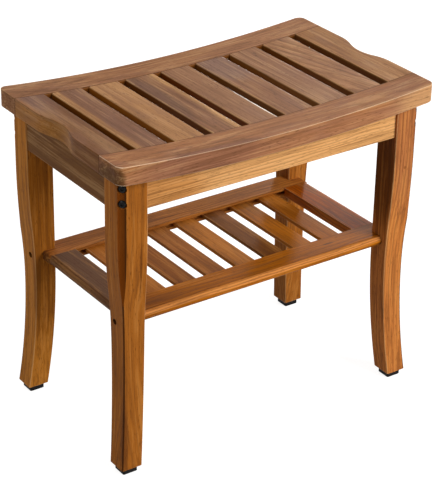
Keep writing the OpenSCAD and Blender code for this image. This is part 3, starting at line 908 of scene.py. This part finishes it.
# %% Where the leg is cut
COVE_IN, COVE_R = 13.1 * MM, 10 * MM
COVE_OFF = math.sqrt(COVE_R ** 2 - (COVE_IN - 2 * TOP_IN) ** 2 / 2)
COVE_AXIS = Vector([foot - COVE_IN / 2 + COVE_OFF / math.sqrt(2) for foot in (FOOT_X, FOOT_Y)])
WELL_D, BOLT_SINK = 13 * MM, 3.25 * MM
BOLT_X, BOLT_Y = (foot - COVE_IN / 2 - BOLT_SINK / math.sqrt(2) for foot in (FOOT_X, FOOT_Y))
BOLT_PLACES = [(BOLT_X, BOLT_Y, z) for z in (419.5 * MM, 398.7 * MM)]
RECESS_D, SCREW_SINK = 8.4 * MM, 7 * MM
SCREW_X, SCREW_Z = FOOT_X - WAIST_IN - SCREW_SINK, 221.3 * MM
SCREW_Y = (LEG_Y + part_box("shelf_back_rail")[1].y) / 2
DIAGONAL = Vector((1, 1, 0)).normalized()
ALONG_DIAGONAL, ALONG_X = (0, math.pi / 2, math.pi / 4), (0, math.pi / 2, 0)
print("screw of the shelf:", [round(v / MM, 1) for v in (SCREW_X, SCREW_Y, SCREW_Z)])

# %% [markdown]
# A boolean takes a cutter out of a piece, and the cutter is then removed. The new faces have to
# be told from the old ones to be marked. The boolean keeps no list of them, so they are found by
# their place: on the wall of the cove's cylinder, or within the recess.

# %% Helpers for cutting and marking
COVE_SIDES, WELL_SIDES, RECESS_SIDES = 180, 48, 40
WELL_RUN, RECESS_RUN = 15 * MM, 30 * MM
ON_WALL = 0.1 * MM
CORNER_WAY, COVE_EDGE_WAY, LEVEL_WAY, ACROSS_WAY = 0.8, 0.88, 0.5, 0.1


def carve(piece, cutter):
    """Cut one object out of another and remove the cutter."""
    keep_place(cutter)
    hold(piece)
    cut = piece.modifiers.new("carve", "BOOLEAN")
    cut.operation, cut.object, cut.solver = "DIFFERENCE", cutter, "EXACT"
    bpy.ops.object.modifier_apply(modifier=cut.name)
    bpy.data.objects.remove(cutter)


def drill(piece, radius, run, place, turn, sides):
    """Carve a round hole that starts at its bottom and runs outwards along its own Z."""
    let_go()
    middle = Vector(place) + Euler(turn).to_matrix() @ Vector((0, 0, run / 2))
    bpy.ops.mesh.primitive_cylinder_add(vertices=sides, radius=radius, depth=run, location=middle,
                                        rotation=turn)
    carve(piece, bpy.context.object)


def on_corner(face):
    """True on the rounding of the outer corner."""
    return face.normal.dot(DIAGONAL) > CORNER_WAY and abs(face.normal.z) < LEVEL_WAY


def in_cove(face):
    """True on the cove."""
    middle = face.calc_center_median()
    return middle.z > WAIST_Z and abs((middle.xy - COVE_AXIS).length - COVE_R) < ON_WALL


def in_recess(face):
    """True on the wall and the floor of the screw's recess."""
    middle = face.calc_center_median()
    off_axis = math.hypot(middle.y - SCREW_Y, middle.z - SCREW_Z)
    on_wall = abs(face.normal.x) < ACROSS_WAY and off_axis < RECESS_D / 2 + ON_WALL
    return middle.x > SCREW_X - MM and (on_wall or near(middle.x, SCREW_X))


print("round cutters with", COVE_SIDES, WELL_SIDES, RECESS_SIDES, "sides")

# %% [markdown]
# The faces are marked between the cuts, so that the wells keep the plain tone. The rounding of
# the outer corner is marked as a joint, because oil and dirt darken it. One edge of the cove and the
# recess are marked as joints too, and there the dark is painted shade. The whole cove gets painted shade.
# The finished leg is then mirrored to the other three corners.

# %% Cut the cove, the wells and the recess, and place four legs
drill(leg, COVE_R, SEAT_H, (*COVE_AXIS, WAIST_Z), (0, 0, 0), COVE_SIDES)
mark_faces(leg, JOINT, on_corner)
# the cove gets painted shade
mark_faces(leg, WALL_SHADE_MARK, in_cove)
# painted shade on one side of the cove
mark_faces(leg, JOINT, lambda f: in_cove(f) and f.normal.x > COVE_EDGE_WAY)
for place in BOLT_PLACES:
    drill(leg, WELL_D / 2, WELL_RUN, place, ALONG_DIAGONAL, WELL_SIDES)
drill(leg, RECESS_D / 2, RECESS_RUN, (SCREW_X, SCREW_Y, SCREW_Z), ALONG_X, RECESS_SIDES)
# painted shade in the screw's recess
mark_faces(leg, JOINT, in_recess)
let_go()
CORNERS = {"back_right": (1, 1, 1), "back_left": (-1, 1, 1), "front_right": (1, -1, 1),
           "front_left": (-1, -1, 1)}
legs = {where: copy_of(leg, f"leg_{where}_teak", mirror) for where, mirror in CORNERS.items()}
bpy.data.objects.remove(leg)
print("legs:", sorted(legs))

# %% [markdown]
# ## The shelf frame
# The lower shelf is a frame of four boards with rounded outer edges. Its long rails run past the
# legs on the inside and fill the space between them on the outside, so each rail has a T shape
# in plan. The T is made as on the bench: a narrow board first, then its middle is pulled out to
# the full width with an extrusion. A groove along the inner face takes the ends of the slats. It
# is made the same way, by pushing a strip of the face inwards.

# %% Shelf rails
SHELF_LOW, SHELF_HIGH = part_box("shelf_back_rail")
SHELF_X, SHELF_Y, SHELF_IN_Y = SHELF_HIGH.x, SHELF_HIGH.y, SHELF_LOW.y
SHELF_IN_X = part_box("shelf_end_right")[0].x
GROOVE_LOW, GROOVE_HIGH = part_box("shelf_slat_4")[0].z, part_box("shelf_slat_4")[1].z
GROOVE_END, GROOVE_DEEP = LEG_X + 4 * MM, 8 * MM
NOSE_R, NOSE_STEPS, GROOVE_EDGE_R = 6.9 * MM, 7, 0.7 * MM


def cut_face(piece, wanted, point, normal):
    """Cut only the faces that pass the test, and keep both sides."""
    pick(piece, "FACE", wanted)
    bpy.ops.mesh.bisect(plane_co=point, plane_no=normal)


def shelf_rail(name):
    """The back rail of the shelf, with its T shape, its groove and its round nose."""
    def inner_face(face):
        return near(face.calc_center_median().y, SHELF_IN_Y)

    def strip(face):
        middle = face.calc_center_median()
        return inner_face(face) and abs(middle.x) < GROOVE_END and GROOVE_LOW < middle.z < GROOVE_HIGH

    def back_strip(face):
        middle = face.calc_center_median()
        return near(middle.y, LEG_Y) and abs(middle.x) < LEG_X

    rail = new_board(name, (-SHELF_X, SHELF_IN_Y, SHELF_LOW.z), (SHELF_X, LEG_Y, SHELF_HIGH.z))
    cut_rows(rail, 0, (-LEG_X, LEG_X))
    pick(rail, "FACE", back_strip)
    bpy.ops.mesh.extrude_region_move(TRANSFORM_OT_translate={"value": (0, SHELF_Y - LEG_Y, 0)})
    for z in (GROOVE_LOW, GROOVE_HIGH):
        cut_face(rail, inner_face, (0, 0, z), (0, 0, 1))
    for x in (-GROOVE_END, GROOVE_END):
        cut_face(rail, inner_face, (x, 0, 0), (1, 0, 0))
    pick(rail, "FACE", strip)
    bpy.ops.mesh.extrude_region_move(TRANSFORM_OT_translate={"value": (0, GROOVE_DEEP, 0)})
    round_edges(rail, NOSE_R, NOSE_STEPS,
                lambda p: near(p.y, SHELF_Y) and abs(p.x) < LEG_X - MM, mark=PLAIN)
    round_edges(rail, NOSE_R, NOSE_STEPS,
                lambda p: near(abs(p.x), SHELF_X) and SHELF_IN_Y + MM < p.y < LEG_Y - MM, mark=PLAIN)
    round_edges(rail, GROOVE_EDGE_R, 2, lambda p: near(p.y, SHELF_IN_Y) and near(p.z, SHELF_HIGH.z))
    let_go()
    return rail


shelf_back = shelf_rail("shelf_back_rail_teak")
shelf_front = copy_of(shelf_back, "shelf_front_rail_teak", (1, -1, 1))
print("groove:", round((GROOVE_HIGH - GROOVE_LOW) / MM, 1), "mm high")

# %% [markdown]
# Two short boards close the shelf at its ends, with the same round nose on the outside. The seven
# thin slats rest with their ends in the grooves. They are all alike and flat, so one is modelled
# in the place of the middle slat, at x = 0, and its copies are only moved sideways.

# %% Shelf end boards and slats
END_EASED_R, END_TOUCH_R, THIN_ROUND = 0.8 * MM, 0.3 * MM, 1.3 * MM
shelf_right = new_board("shelf_end_right_teak", (SHELF_IN_X, -SHELF_IN_Y, SHELF_LOW.z),
                        (SHELF_X, SHELF_IN_Y, SHELF_HIGH.z))
round_edges(shelf_right, NOSE_R, NOSE_STEPS,
            lambda p: near(p.x, SHELF_X) and abs(p.y) < SHELF_IN_Y - MM, mark=PLAIN)
round_edges(shelf_right, END_EASED_R, 2, lambda p: near(p.x, SHELF_IN_X) and abs(p.y) < SHELF_IN_Y - MM)
round_edges(shelf_right, END_TOUCH_R, 1, lambda p: near(abs(p.y), SHELF_IN_Y))
let_go()
shelf_left = copy_of(shelf_right, "shelf_end_left_teak", (-1, 1, 1))
low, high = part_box("shelf_slat_4")
thin_model = new_board("thin_slat_model", low, high)
round_edges(thin_model, THIN_ROUND, 3, lambda p: near(abs(p.x), high.x) and abs(p.y) < high.y - MM)
let_go()
thin_slats = []
for number in range(1, SLAT_COUNT + 1):
    thin_low, thin_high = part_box(f"shelf_slat_{number}")
    thin = copy_of(thin_model, f"shelf_slat_{number}_teak")
    thin.location.x = (thin_low.x + thin_high.x) / 2
    keep_place(thin)
    thin_slats.append(thin)
bpy.data.objects.remove(thin_model)
print("shelf slats:", len(thin_slats))

# %% [markdown]
# ## Bolts, screws and pads
# Round hardware is turned on a lathe in the real world. A spun profile would do it, but needs its
# doubles merged at the poles. Here a circle is extruded ring by ring instead, and each ring is
# scaled to its radius, which follows the profile in the same way. One of each is made at the
# origin and copied to its places.

# %% Turn a round piece
def turned(name, rings, vertices=36):
    """A round piece along Z whose profile is a list of (radius, height) rings."""
    let_go()
    radius, height = rings[0]
    bpy.ops.mesh.primitive_circle_add(vertices=vertices, radius=radius, fill_type="NGON",
                                      location=(0, 0, height))
    piece = bpy.context.object
    piece.name = piece.data.name = name
    keep_place(piece)
    give_slots(piece)
    pick(piece, "FACE", lambda face: True)
    for next_radius, next_height in rings[1:]:
        bpy.ops.mesh.extrude_region_move(TRANSFORM_OT_translate={"value": (0, 0, next_height - height)})
        share = next_radius / radius
        bpy.ops.transform.resize(value=(share, share, 1), center_override=(0, 0, next_height))
        radius, height = next_radius, next_height
    bpy.ops.mesh.select_all(action="SELECT")
    bpy.ops.mesh.normals_make_consistent(inside=False)
    let_go()
    return piece


def join_copies(piece, name, places, mirrors):
    """Copies at each place, turned and mirrored to each corner, joined to one object."""
    copies = []
    for place, turn in places:
        placed = copy_of(piece, name)
        placed.rotation_euler = turn
        placed.location = place
        keep_place(placed)
        copies += [copy_of(placed, name, mirror) for mirror in mirrors]
        bpy.data.objects.remove(placed)
    hold(copies[0])
    for each in copies:
        each.select_set(True)
    bpy.ops.object.join()
    joined = bpy.context.object
    joined.name = joined.data.name = name
    return joined


print("corners that each screw and bolt is copied to:", sorted(CORNERS))

# %% [markdown]
# Two button-head bolts pull each leg against the corner block behind it. Under its dome the head
# has a short straight rim, and the dome is an arc that is worked out ring by ring. The hex socket
# is a six-sided cylinder, cut out with a boolean. The shank runs through the leg to its nut.

# %% Leg bolts
BOLT_D, HEAD_D, HEAD_H, SHANK = 6 * MM, 10.5 * MM, 3.3 * MM, 76.9 * MM
TIP_CUT, TIP_LONG, RIM_CUT = 0.5 * MM, 0.6 * MM, 0.3 * MM
DOME_R, DOME_STEPS = HEAD_D * 0.72, (0.35, 0.5, 0.65, 0.8, 0.9, 0.97)
SOCKET_R, SOCKET_MIDDLE, SOCKET_TURN = BOLT_D * 0.385, HEAD_H * 0.95, math.radians(30)


def dome_ring(share):
    """Radius and height of the dome at a share of the head's height."""
    radius = math.sqrt(DOME_R ** 2 - (share * HEAD_H - HEAD_H + DOME_R) ** 2)
    return min(radius, HEAD_D / 2), share * HEAD_H


bolt = turned("bolt_model", [(BOLT_D / 2 - TIP_CUT, -SHANK), (BOLT_D / 2, TIP_LONG - SHANK),
                             (BOLT_D / 2, 0), (HEAD_D / 2 - RIM_CUT, 0), (HEAD_D / 2, RIM_CUT),
                             *(dome_ring(share) for share in DOME_STEPS)])
bpy.ops.mesh.primitive_cylinder_add(vertices=6, radius=SOCKET_R, depth=HEAD_H,
                                    location=(0, 0, SOCKET_MIDDLE), rotation=(0, 0, SOCKET_TURN))
carve(bolt, bpy.context.object)
ALL_CORNERS = list(CORNERS.values())
places = [(place, ALONG_DIAGONAL) for place in BOLT_PLACES]
leg_bolts = join_copies(bolt, "leg_bolts_steel", places, ALL_CORNERS)
bpy.data.objects.remove(bolt)
print("bolt faces:", len(leg_bolts.data.polygons))

# %% [markdown]
# Three kinds of screws hold the rest: one through each leg into the shelf, one up through each
# corner block into the seat, and one up through each pad into the foot. They differ only in size,
# so one function turns them all. Two crossed blades cut the recess in the head.

# %% Screws
SCREW_SIDES, TIP_SHARE, TAPER = 28, 1 / 8, 2 * MM
UNDER_CUT, RIM_BEND, TOP_CUT = 0.2 * MM, 0.25 * MM, 0.8 * MM
BLADE_LONG, BLADE_WIDE = 0.56, 0.13
SHELF_HEAD_H, SEAT_SCREW_PLACE, PAD_SCREW_Z = 2.6 * MM, (167.2 * MM, 111.15 * MM, 386.2 * MM), 1.2 * MM
PAD_X, PAD_Y = FOOT_X - FOOT_W / 2, FOOT_Y - FOOT_W / 2
UPWARDS = (math.pi, 0, 0)
SCREW_KINDS = {
    "shelf": {"head": (7.6 * MM, SHELF_HEAD_H), "shank": (4.2 * MM, 34 * MM),
              "place": (SCREW_X + SHELF_HEAD_H, SCREW_Y, SCREW_Z), "turn": ALONG_X},
    "seat": {"head": (7.6 * MM, 2.8 * MM), "shank": (3.2 * MM, 50 * MM),
             "place": SEAT_SCREW_PLACE, "turn": UPWARDS},
    "pad": {"head": (7 * MM, 2.3 * MM), "shank": (2.6 * MM, 24 * MM),
            "place": (PAD_X, PAD_Y, PAD_SCREW_Z), "turn": UPWARDS},
}


def cross_head(name, head_d, head_h, shank_d, shank):
    """A screw with its head's top on z = 0 and its shank below, with a cross recess."""
    screw = turned(name, [(shank_d * TIP_SHARE, -shank), (shank_d / 2, -shank + TAPER),
                          (shank_d / 2, -head_h), (head_d / 2 - UNDER_CUT, -head_h),
                          (head_d / 2, UNDER_CUT - head_h), (head_d / 2, -0.5 * head_h),
                          (head_d / 2 - RIM_BEND, -0.2 * head_h), (head_d / 2 - TOP_CUT, 0)], SCREW_SIDES)
    for turn in (0, math.pi / 2):
        bpy.ops.mesh.primitive_cube_add(size=1, rotation=(0, 0, turn))
        blade = bpy.context.object
        blade.scale = (BLADE_LONG * head_d, BLADE_WIDE * head_d, head_h)
        carve(screw, blade)
    return screw


screws = {}
for kind, size in SCREW_KINDS.items():
    model = cross_head(f"{kind}_screw_model", *size["head"], *size["shank"])
    places = [(size["place"], size["turn"])]
    screws[kind] = join_copies(model, f"{kind}_screws_steel", places, ALL_CORNERS)
    bpy.data.objects.remove(model)
print("screws:", [screw.name for screw in screws.values()])

# %% [markdown]
# A square rubber pad keeps each foot off the wet floor. It is a rounded board like the others,
# with a round hollow in its underside for the head of its screw.

# %% Foot pads
PAD_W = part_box("pad_back_right")[1].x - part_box("pad_back_right")[0].x
PAD_CORNER_R, PAD_EDGE_R = 2.4 * MM, 1.0 * MM
HOLLOW_R, HOLLOW_RUN, HOLLOW_SIDES = 4 * MM, 7 * MM, 32
pad = new_board("pad_model", (PAD_X - PAD_W / 2, PAD_Y - PAD_W / 2, 0),
                (PAD_X + PAD_W / 2, PAD_Y + PAD_W / 2, PAD_H))
round_edges(pad, PAD_CORNER_R, 5, lambda p: MM < p.z < PAD_H - MM, mark=PLAIN)
round_edges(pad, PAD_EDGE_R, 3, lambda p: near(p.z, 0))
let_go()
bpy.ops.mesh.primitive_cylinder_add(vertices=HOLLOW_SIDES, radius=HOLLOW_R, depth=HOLLOW_RUN,
                                    location=(PAD_X, PAD_Y, 0))
carve(pad, bpy.context.object)
pads = {where: copy_of(pad, f"pad_{where}_rubber", mirror) for where, mirror in CORNERS.items()}
bpy.data.objects.remove(pad)
print("pads:", len(pads))

# %% [markdown]
# ## Finish the boards
# Every board gets a finish of its own, because no two boards come from the same place in a tree.
# The seat is brown with a touch of mauve, since light and water have bleached it a little, and
# the parts below are a deeper orange. Each call gives a board its base tone, the pattern of its
# grain and the patches where it differs from its tone, such as a dark end, a painted highlight along
# an edge, or painted shade.

# %% Finish the seat frame
# the tone of the painted shade on the walls of the gaps; the right end board has a tone of its own
GAP_WALL_SHADE = tone(106, 60, 18)
# the near-white line along the front rail's rounded edges is partly wear and partly painted highlight
done(seat_front, "seat_front_rail", teak(
    "seat_front_rail", "X", tone(165, 113, 79), depth=0.5, lines=0.3, heart=(40, 120), seed=1.1,
    planed=GAP_WALL_SHADE, worn=0.75, wear_and_highlight_tone=RUB_AND_HIGHLIGHT, mauve=0.25,
    patches=(((0, -128, 454), (420, 60, 14), tone(158, 103, 62), 0.9),
             ((-252, -140, 434), (16, 60, 28), tone(94, 64, 36), 0.9),
             ((205, -128, 458), (60, 24, 7), tone(148, 99, 68), 0.8),
             ((235, -151, 440), (60, 9, 30), tone(196, 148, 102), 0.9),
             ((-120, -151, 440), (110, 12, 30), tone(144, 97, 74), 0.8))))
done(seat_back, "seat_back_rail", teak(
    "seat_back_rail", "X", tone(156, 105, 68), depth=0.6, lines=0.3, heart=(50, 90), seed=2.3,
    planed=GAP_WALL_SHADE, mauve=0.25,
    patches=(((-250, 130, 450), (140, 60, 40), tone(143, 97, 64), 0.8),
             ((170, 130, 450), (120, 60, 40), tone(170, 119, 84), 0.8))))
done(end_left, "seat_end_left", teak(
    "seat_end_left", "Y", tone(122, 80, 48), depth=0.38, lines=0.2, heart=(40, 60), seed=3.2,
    planed=GAP_WALL_SHADE, worn=0.0, mauve=0.25,
    patches=(((-230, 105, 461), (60, 90, 8), tone(125, 91, 77), 0.9),
             ((-250, 72, 438), (16, 100, 26), tone(178, 122, 66), 0.9),
             ((-244, 0, 436), (16, 50, 28), tone(166, 114, 60), 0.8))))
done(end_right, "seat_end_right", teak(
    "seat_end_right", "Y", tone(162, 113, 71), depth=0.5, lines=0.25, heart=(40, 60), seed=4.4,
    planed=tone(96, 56, 24), worn=0.3, mauve=0.25))
print("seat frame finished:", len(pieces), "pieces")

# %% [markdown]
# The seven slats come from several boards, so each has its own tone on top, its own painted shade on its
# long sides, and the features that stand out on it: a painted highlight along the left edge of the first,
# a strip of sapwood on the third, a painted highlight along the right edge of the fourth, and the wide
# curves of a near heart on the seventh.

# %% Finish the seat slats
SLAT_TONES = (tone(132, 91, 67), tone(171, 122, 78), tone(141, 96, 65), tone(153, 109, 78),
              tone(146, 101, 71), tone(154, 110, 80), tone(166, 117, 80))
# the painted shade on the long sides of each slat
SLAT_SIDE_SHADES = (tone(104, 58, 14), tone(130, 76, 22), tone(90, 50, 16), tone(98, 48, 12),
              tone(100, 60, 22), tone(118, 72, 28), tone(104, 60, 20))
SLAT_EDGE, SLAT_TOP = SLAT_W / 2 / MM, (SEAT_H - SAG) / MM
SLAT_FEATURES = (
    # the pale strip along the first slat's left edge is a painted highlight
    {"lines": 0.2, "patches": [((-193, 0, 450), (10, 400, 30), tone(170, 122, 76), 0.9)]},
    {"lines": 0.1, "depth": 0.4, "lean": (1, 2)},
    {"lines": 0.35, "patches": [((-34, 0, 448), (12, 400, 30), tone(192, 143, 92), 0.95),
                                ((-78, 30, 448), (24, 120, 30), tone(112, 80, 62), 0.8)]},
    # the white line along the fourth slat's right edge is a painted highlight
    {"lines": 0.2, "depth": 0.4, "patches": [
        ((SLAT_EDGE - 1.0, -62, SLAT_TOP), (2.5, 66, 7), tone(255, 250, 240), 1.0)]},
    {"lines": 0.15, "patches": [((57, 70, 448), (40, 60, 30), tone(138, 106, 92), 0.85)]},
    {"lines": 0.35, "ring": 5.5, "heart": (90, 30)},
    {"lines": 0.5, "depth": 0.55, "ring": 11, "heart": (46, 14), "lean": (4, 15)},
)
rows = zip(slats, SLAT_TONES, SLAT_SIDE_SHADES, SLAT_FEATURES)
for number, (slat, shade, side_shade, features) in enumerate(rows, 1):
    node = f"seat_slat_{number}"
    done(slat, node, teak(node, "Y", shade, seed=5 + 1.7 * number, planed=side_shade, mauve=0.25,
                          **features))
print("slats finished:", len(slats))

# %% [markdown]
# The aprons are paler, and their lines stand out. The legs are the most orange boards of all,
# with long upright stripes. The front right leg has a knot below the seat, and painted shade darkens
# the upper part of its inner face. The hidden corner blocks keep the shape that the frame gives them, and
# get plain teak of their own.

# %% Finish the aprons and the legs
done(apron_front, "apron_front", teak(
    "apron_front", "X", tone(220, 164, 104), depth=0.5, fibres=1.1, lines=0.45, ring=4.5,
    heart=(15, 130), seed=14.1, patches=(((-190, -132, 400), (90, 40, 50), tone(200, 138, 76), 0.9),)))
done(apron_back, "apron_back", teak(
    "apron_back", "X", tone(205, 150, 96), depth=0.5, lines=0.4, heart=(15, 110), seed=15.1))
done(apron_left, "apron_left", teak(
    "apron_left", "Y", tone(116, 76, 38), depth=0.5, lines=0.35, heart=(20, 90), seed=16.6))
done(apron_right, "apron_right", teak(
    "apron_right", "Y", tone(185, 132, 82), depth=0.5, lines=0.35, heart=(20, 90), seed=17.7))
# the cove's tone and its share are painted shade
COVE_SHADE, COVE_SHADE_SHARE, BLOCK_TONE = tone(104, 48, 6), 0.85, tone(170, 120, 76)
LEG_TONES = {"front_left": tone(160, 95, 33), "front_right": tone(192, 117, 57),
             "back_left": tone(188, 119, 42), "back_right": tone(168, 100, 36)}
LEG_FEATURES = {
    # the front left leg's rounded edges are paler, partly wear and partly painted highlight
    "front_left": {"heart": (60, 50), "lines": 0.3, "worn": 0.6, "patches": [
        ((-236, -136, 70), (9, 9, 80), tone(104, 58, 24), 0.7),
        ((-209, -136, 300), (2, 9, 60), tone(104, 56, 20), 0.75)]},
    "front_right": {"heart": (70, 40), "lines": 0.45, "fibres": 1.5, "patches": [
        ((221, -130, 390), (40, 30, 140), tone(168, 104, 62), 0.85),
        # painted shade on the upper inner face of the front right leg
        ((198, -115, 325), (7, 30, 110), tone(108, 60, 20), 0.9),
        ((218, -136, 337), (3, 6, 3), tone(120, 66, 34), 0.8)]},
    "back_left": {"heart": (70, 70), "lines": 0.35, "fibres": 1.4, "patches": [
        ((-222, 92, 220), (40, 14, 320), tone(158, 94, 28), 0.85)]},
    "back_right": {"heart": (50, 70), "lines": 0.4},
}
for number, (where, piece) in enumerate(legs.items()):
    node = f"leg_{where}"
    done(piece, node, teak(node, "Z", LEG_TONES[where], depth=0.5, ring=4.5, seed=20 + 1.3 * number,
                           sap=AMBER, planed=COVE_SHADE, wall_shade_most=COVE_SHADE_SHARE, **LEG_FEATURES[where]))
for number, where in enumerate(CORNERS):
    node = f"block_{where}"
    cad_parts[node].material_slots[0].material = teak(node, "Z", BLOCK_TONE, seed=60 + number)
print("legs finished:", len(legs))

# %% [markdown]
# The shelf is under the seat and out of the sun and the rubbing hands, so it has kept its orange.
# Its patches are a painted highlight along the round nose of the front rail, a knot, and painted
# shadows where a rail meets a leg. The back halves of three slats are lighter, which is painted light.

# %% Finish the shelf
SHELF_TONES = {"shelf_front_rail": tone(174, 98, 6), "shelf_back_rail": tone(180, 110, 46),
               "shelf_end_left": tone(98, 69, 50), "shelf_end_right": tone(170, 82, 2)}
NOSE_Y, NOSE_Z = 2 - SHELF_Y / MM, SHELF_HIGH.z / MM - 2.5
SHELF_PATCHES = {
    "shelf_front_rail": (((-200, -100, 222), (70, 40, 20), tone(138, 76, 12), 0.8),
                         # a painted highlight along the front rail's round nose
                         ((0, NOSE_Y, NOSE_Z), (420, 5.5, 5), tone(216, 142, 76), 0.8),
                         ((124, -96, 227), (13, 2.5, 4), tone(78, 40, 10), 0.85),
                         # a painted shadow where the front rail meets the front right leg
                         ((200, -114, 218), (7, 12, 12), tone(70, 40, 16), 0.8)),
    "shelf_back_rail": (((-120, 100, 222), (130, 40, 20), tone(146, 88, 40), 0.8),
                        # a painted shadow where the back rail meets the back left leg
                        ((-222, 98, 220), (14, 30, 14), tone(60, 34, 18), 0.8)),
    "shelf_end_left": (((-187, -95, 227), (40, 36, 14), tone(132, 88, 48), 0.8),),
    "shelf_end_right": (((210, 70, 222), (14, 40, 20), tone(140, 76, 24), 0.8),),
}
shelf_frame = (shelf_front, shelf_back, shelf_left, shelf_right)
for number, (piece, (node, shade)) in enumerate(zip(shelf_frame, SHELF_TONES.items())):
    grain = "X" if node.endswith("rail") else "Y"
    done(piece, node, teak(node, grain, shade, lines=0.55, heart=(40, 36), lean=(2, 1.5),
                           seed=30 + 1.9 * number, sap=AMBER, patches=SHELF_PATCHES[node]))
THIN_TONES = (tone(162, 96, 32), tone(134, 77, 28), tone(152, 90, 36), tone(180, 110, 38),
              tone(120, 70, 24), tone(180, 105, 20), tone(170, 96, 14))
# the back halves of three slats are lighter: painted light
THIN_PAINTED_LIGHT = {5: [((63, 70, 221), (20, 50, 8), tone(160, 102, 58), 0.8)],
                6: [((107, 70, 221), (20, 50, 8), tone(190, 122, 50), 0.8)],
                7: [((151, 70, 221), (20, 45, 8), tone(206, 128, 46), 0.8)]}
for number, (thin, shade) in enumerate(zip(thin_slats, THIN_TONES), 1):
    node = f"shelf_slat_{number}"
    done(thin, node, teak(node, "Y", shade, lines=0.25, sap=AMBER, seed=40 + 2.1 * number,
                          patches=THIN_PAINTED_LIGHT.get(number, ())))
print("shelf finished:", len(pieces), "pieces")

# %% [markdown]
# ## Steel and rubber
# The bolts are steel with a black oxide, the screws and nuts are plated with zinc, and the pads
# are black rubber. One recipe serves all three. Fine grains change the gloss from spot to spot
# and press small dents into the surface, and broad blotches carry a little pale dust. The black
# finishes are written as paint and not as metal, since an oxide layer hides the metal under it.

# %% Steel and rubber finishes
PAINT_SHEEN = 0.12
BLOTCH = (6, 6, 6)
DENTS, DENT_H = 0.15, 0.1 * MM


def hard_finish(name, shade, dust, metal, low, high, grain_size):
    """A finish that takes up to a share of pale dust and whose roughness runs from low to high."""
    finish = Finish(name)
    place = finish.add("ShaderNodeTexCoord", {}, output=3)
    scaled = finish.add("ShaderNodeMapping", {"Vector": place, "Scale": (1 / MM, 1 / MM, 1 / MM)})
    grains = finish.noise(scaled, (grain_size,) * 3, 3.0, WIRY)
    blotch = finish.span(finish.noise(scaled, BLOTCH), *MOST)
    dusty = mixed(shade, (1, 1, 1, 1), dust)
    dents = finish.add("ShaderNodeBump", {"Height": grains, "Strength": DENTS, "Distance": DENT_H})
    finish.put(finish.shader.inputs["Base Color"], finish.blend(blotch, shade, dusty))
    finish.put(finish.shader.inputs["Roughness"], finish.span(grains, *MOST, low, high))
    finish.put(finish.shader.inputs["Normal"], dents)
    finish.shader.inputs["Metallic"].default_value = metal
    finish.shader.inputs["Specular IOR Level"].default_value = PAINT_SHEEN
    return finish.material


black_oxide = hard_finish("black_oxide_steel", tone(8, 7, 7), 0.003, 0.0, 0.22, 0.34, 0.5)
zinc = hard_finish("zinc_plated_steel", tone(176, 176, 172), 0.08, 1.0, 0.25, 0.42, 0.6)
rubber = hard_finish("black_rubber", tone(12, 10, 10), 0.002, 0.0, 0.55, 0.75, 0.8)
done(leg_bolts, "leg_bolts", black_oxide)
for kind, screw in screws.items():
    done(screw, f"{kind}_screws", zinc)
for where, pad in pads.items():
    done(pad, f"pad_{where}", rubber)
for node in ("bolt_washers", "bolt_nuts"):
    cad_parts[node].material_slots[0].material = zinc
print("finishes:", len(bpy.data.materials))

# %% [markdown]
# ## The pieces
# The look must not change the size of the bench. The number of finished pieces is printed.

# %% Count the pieces
print("pieces:", len(pieces))
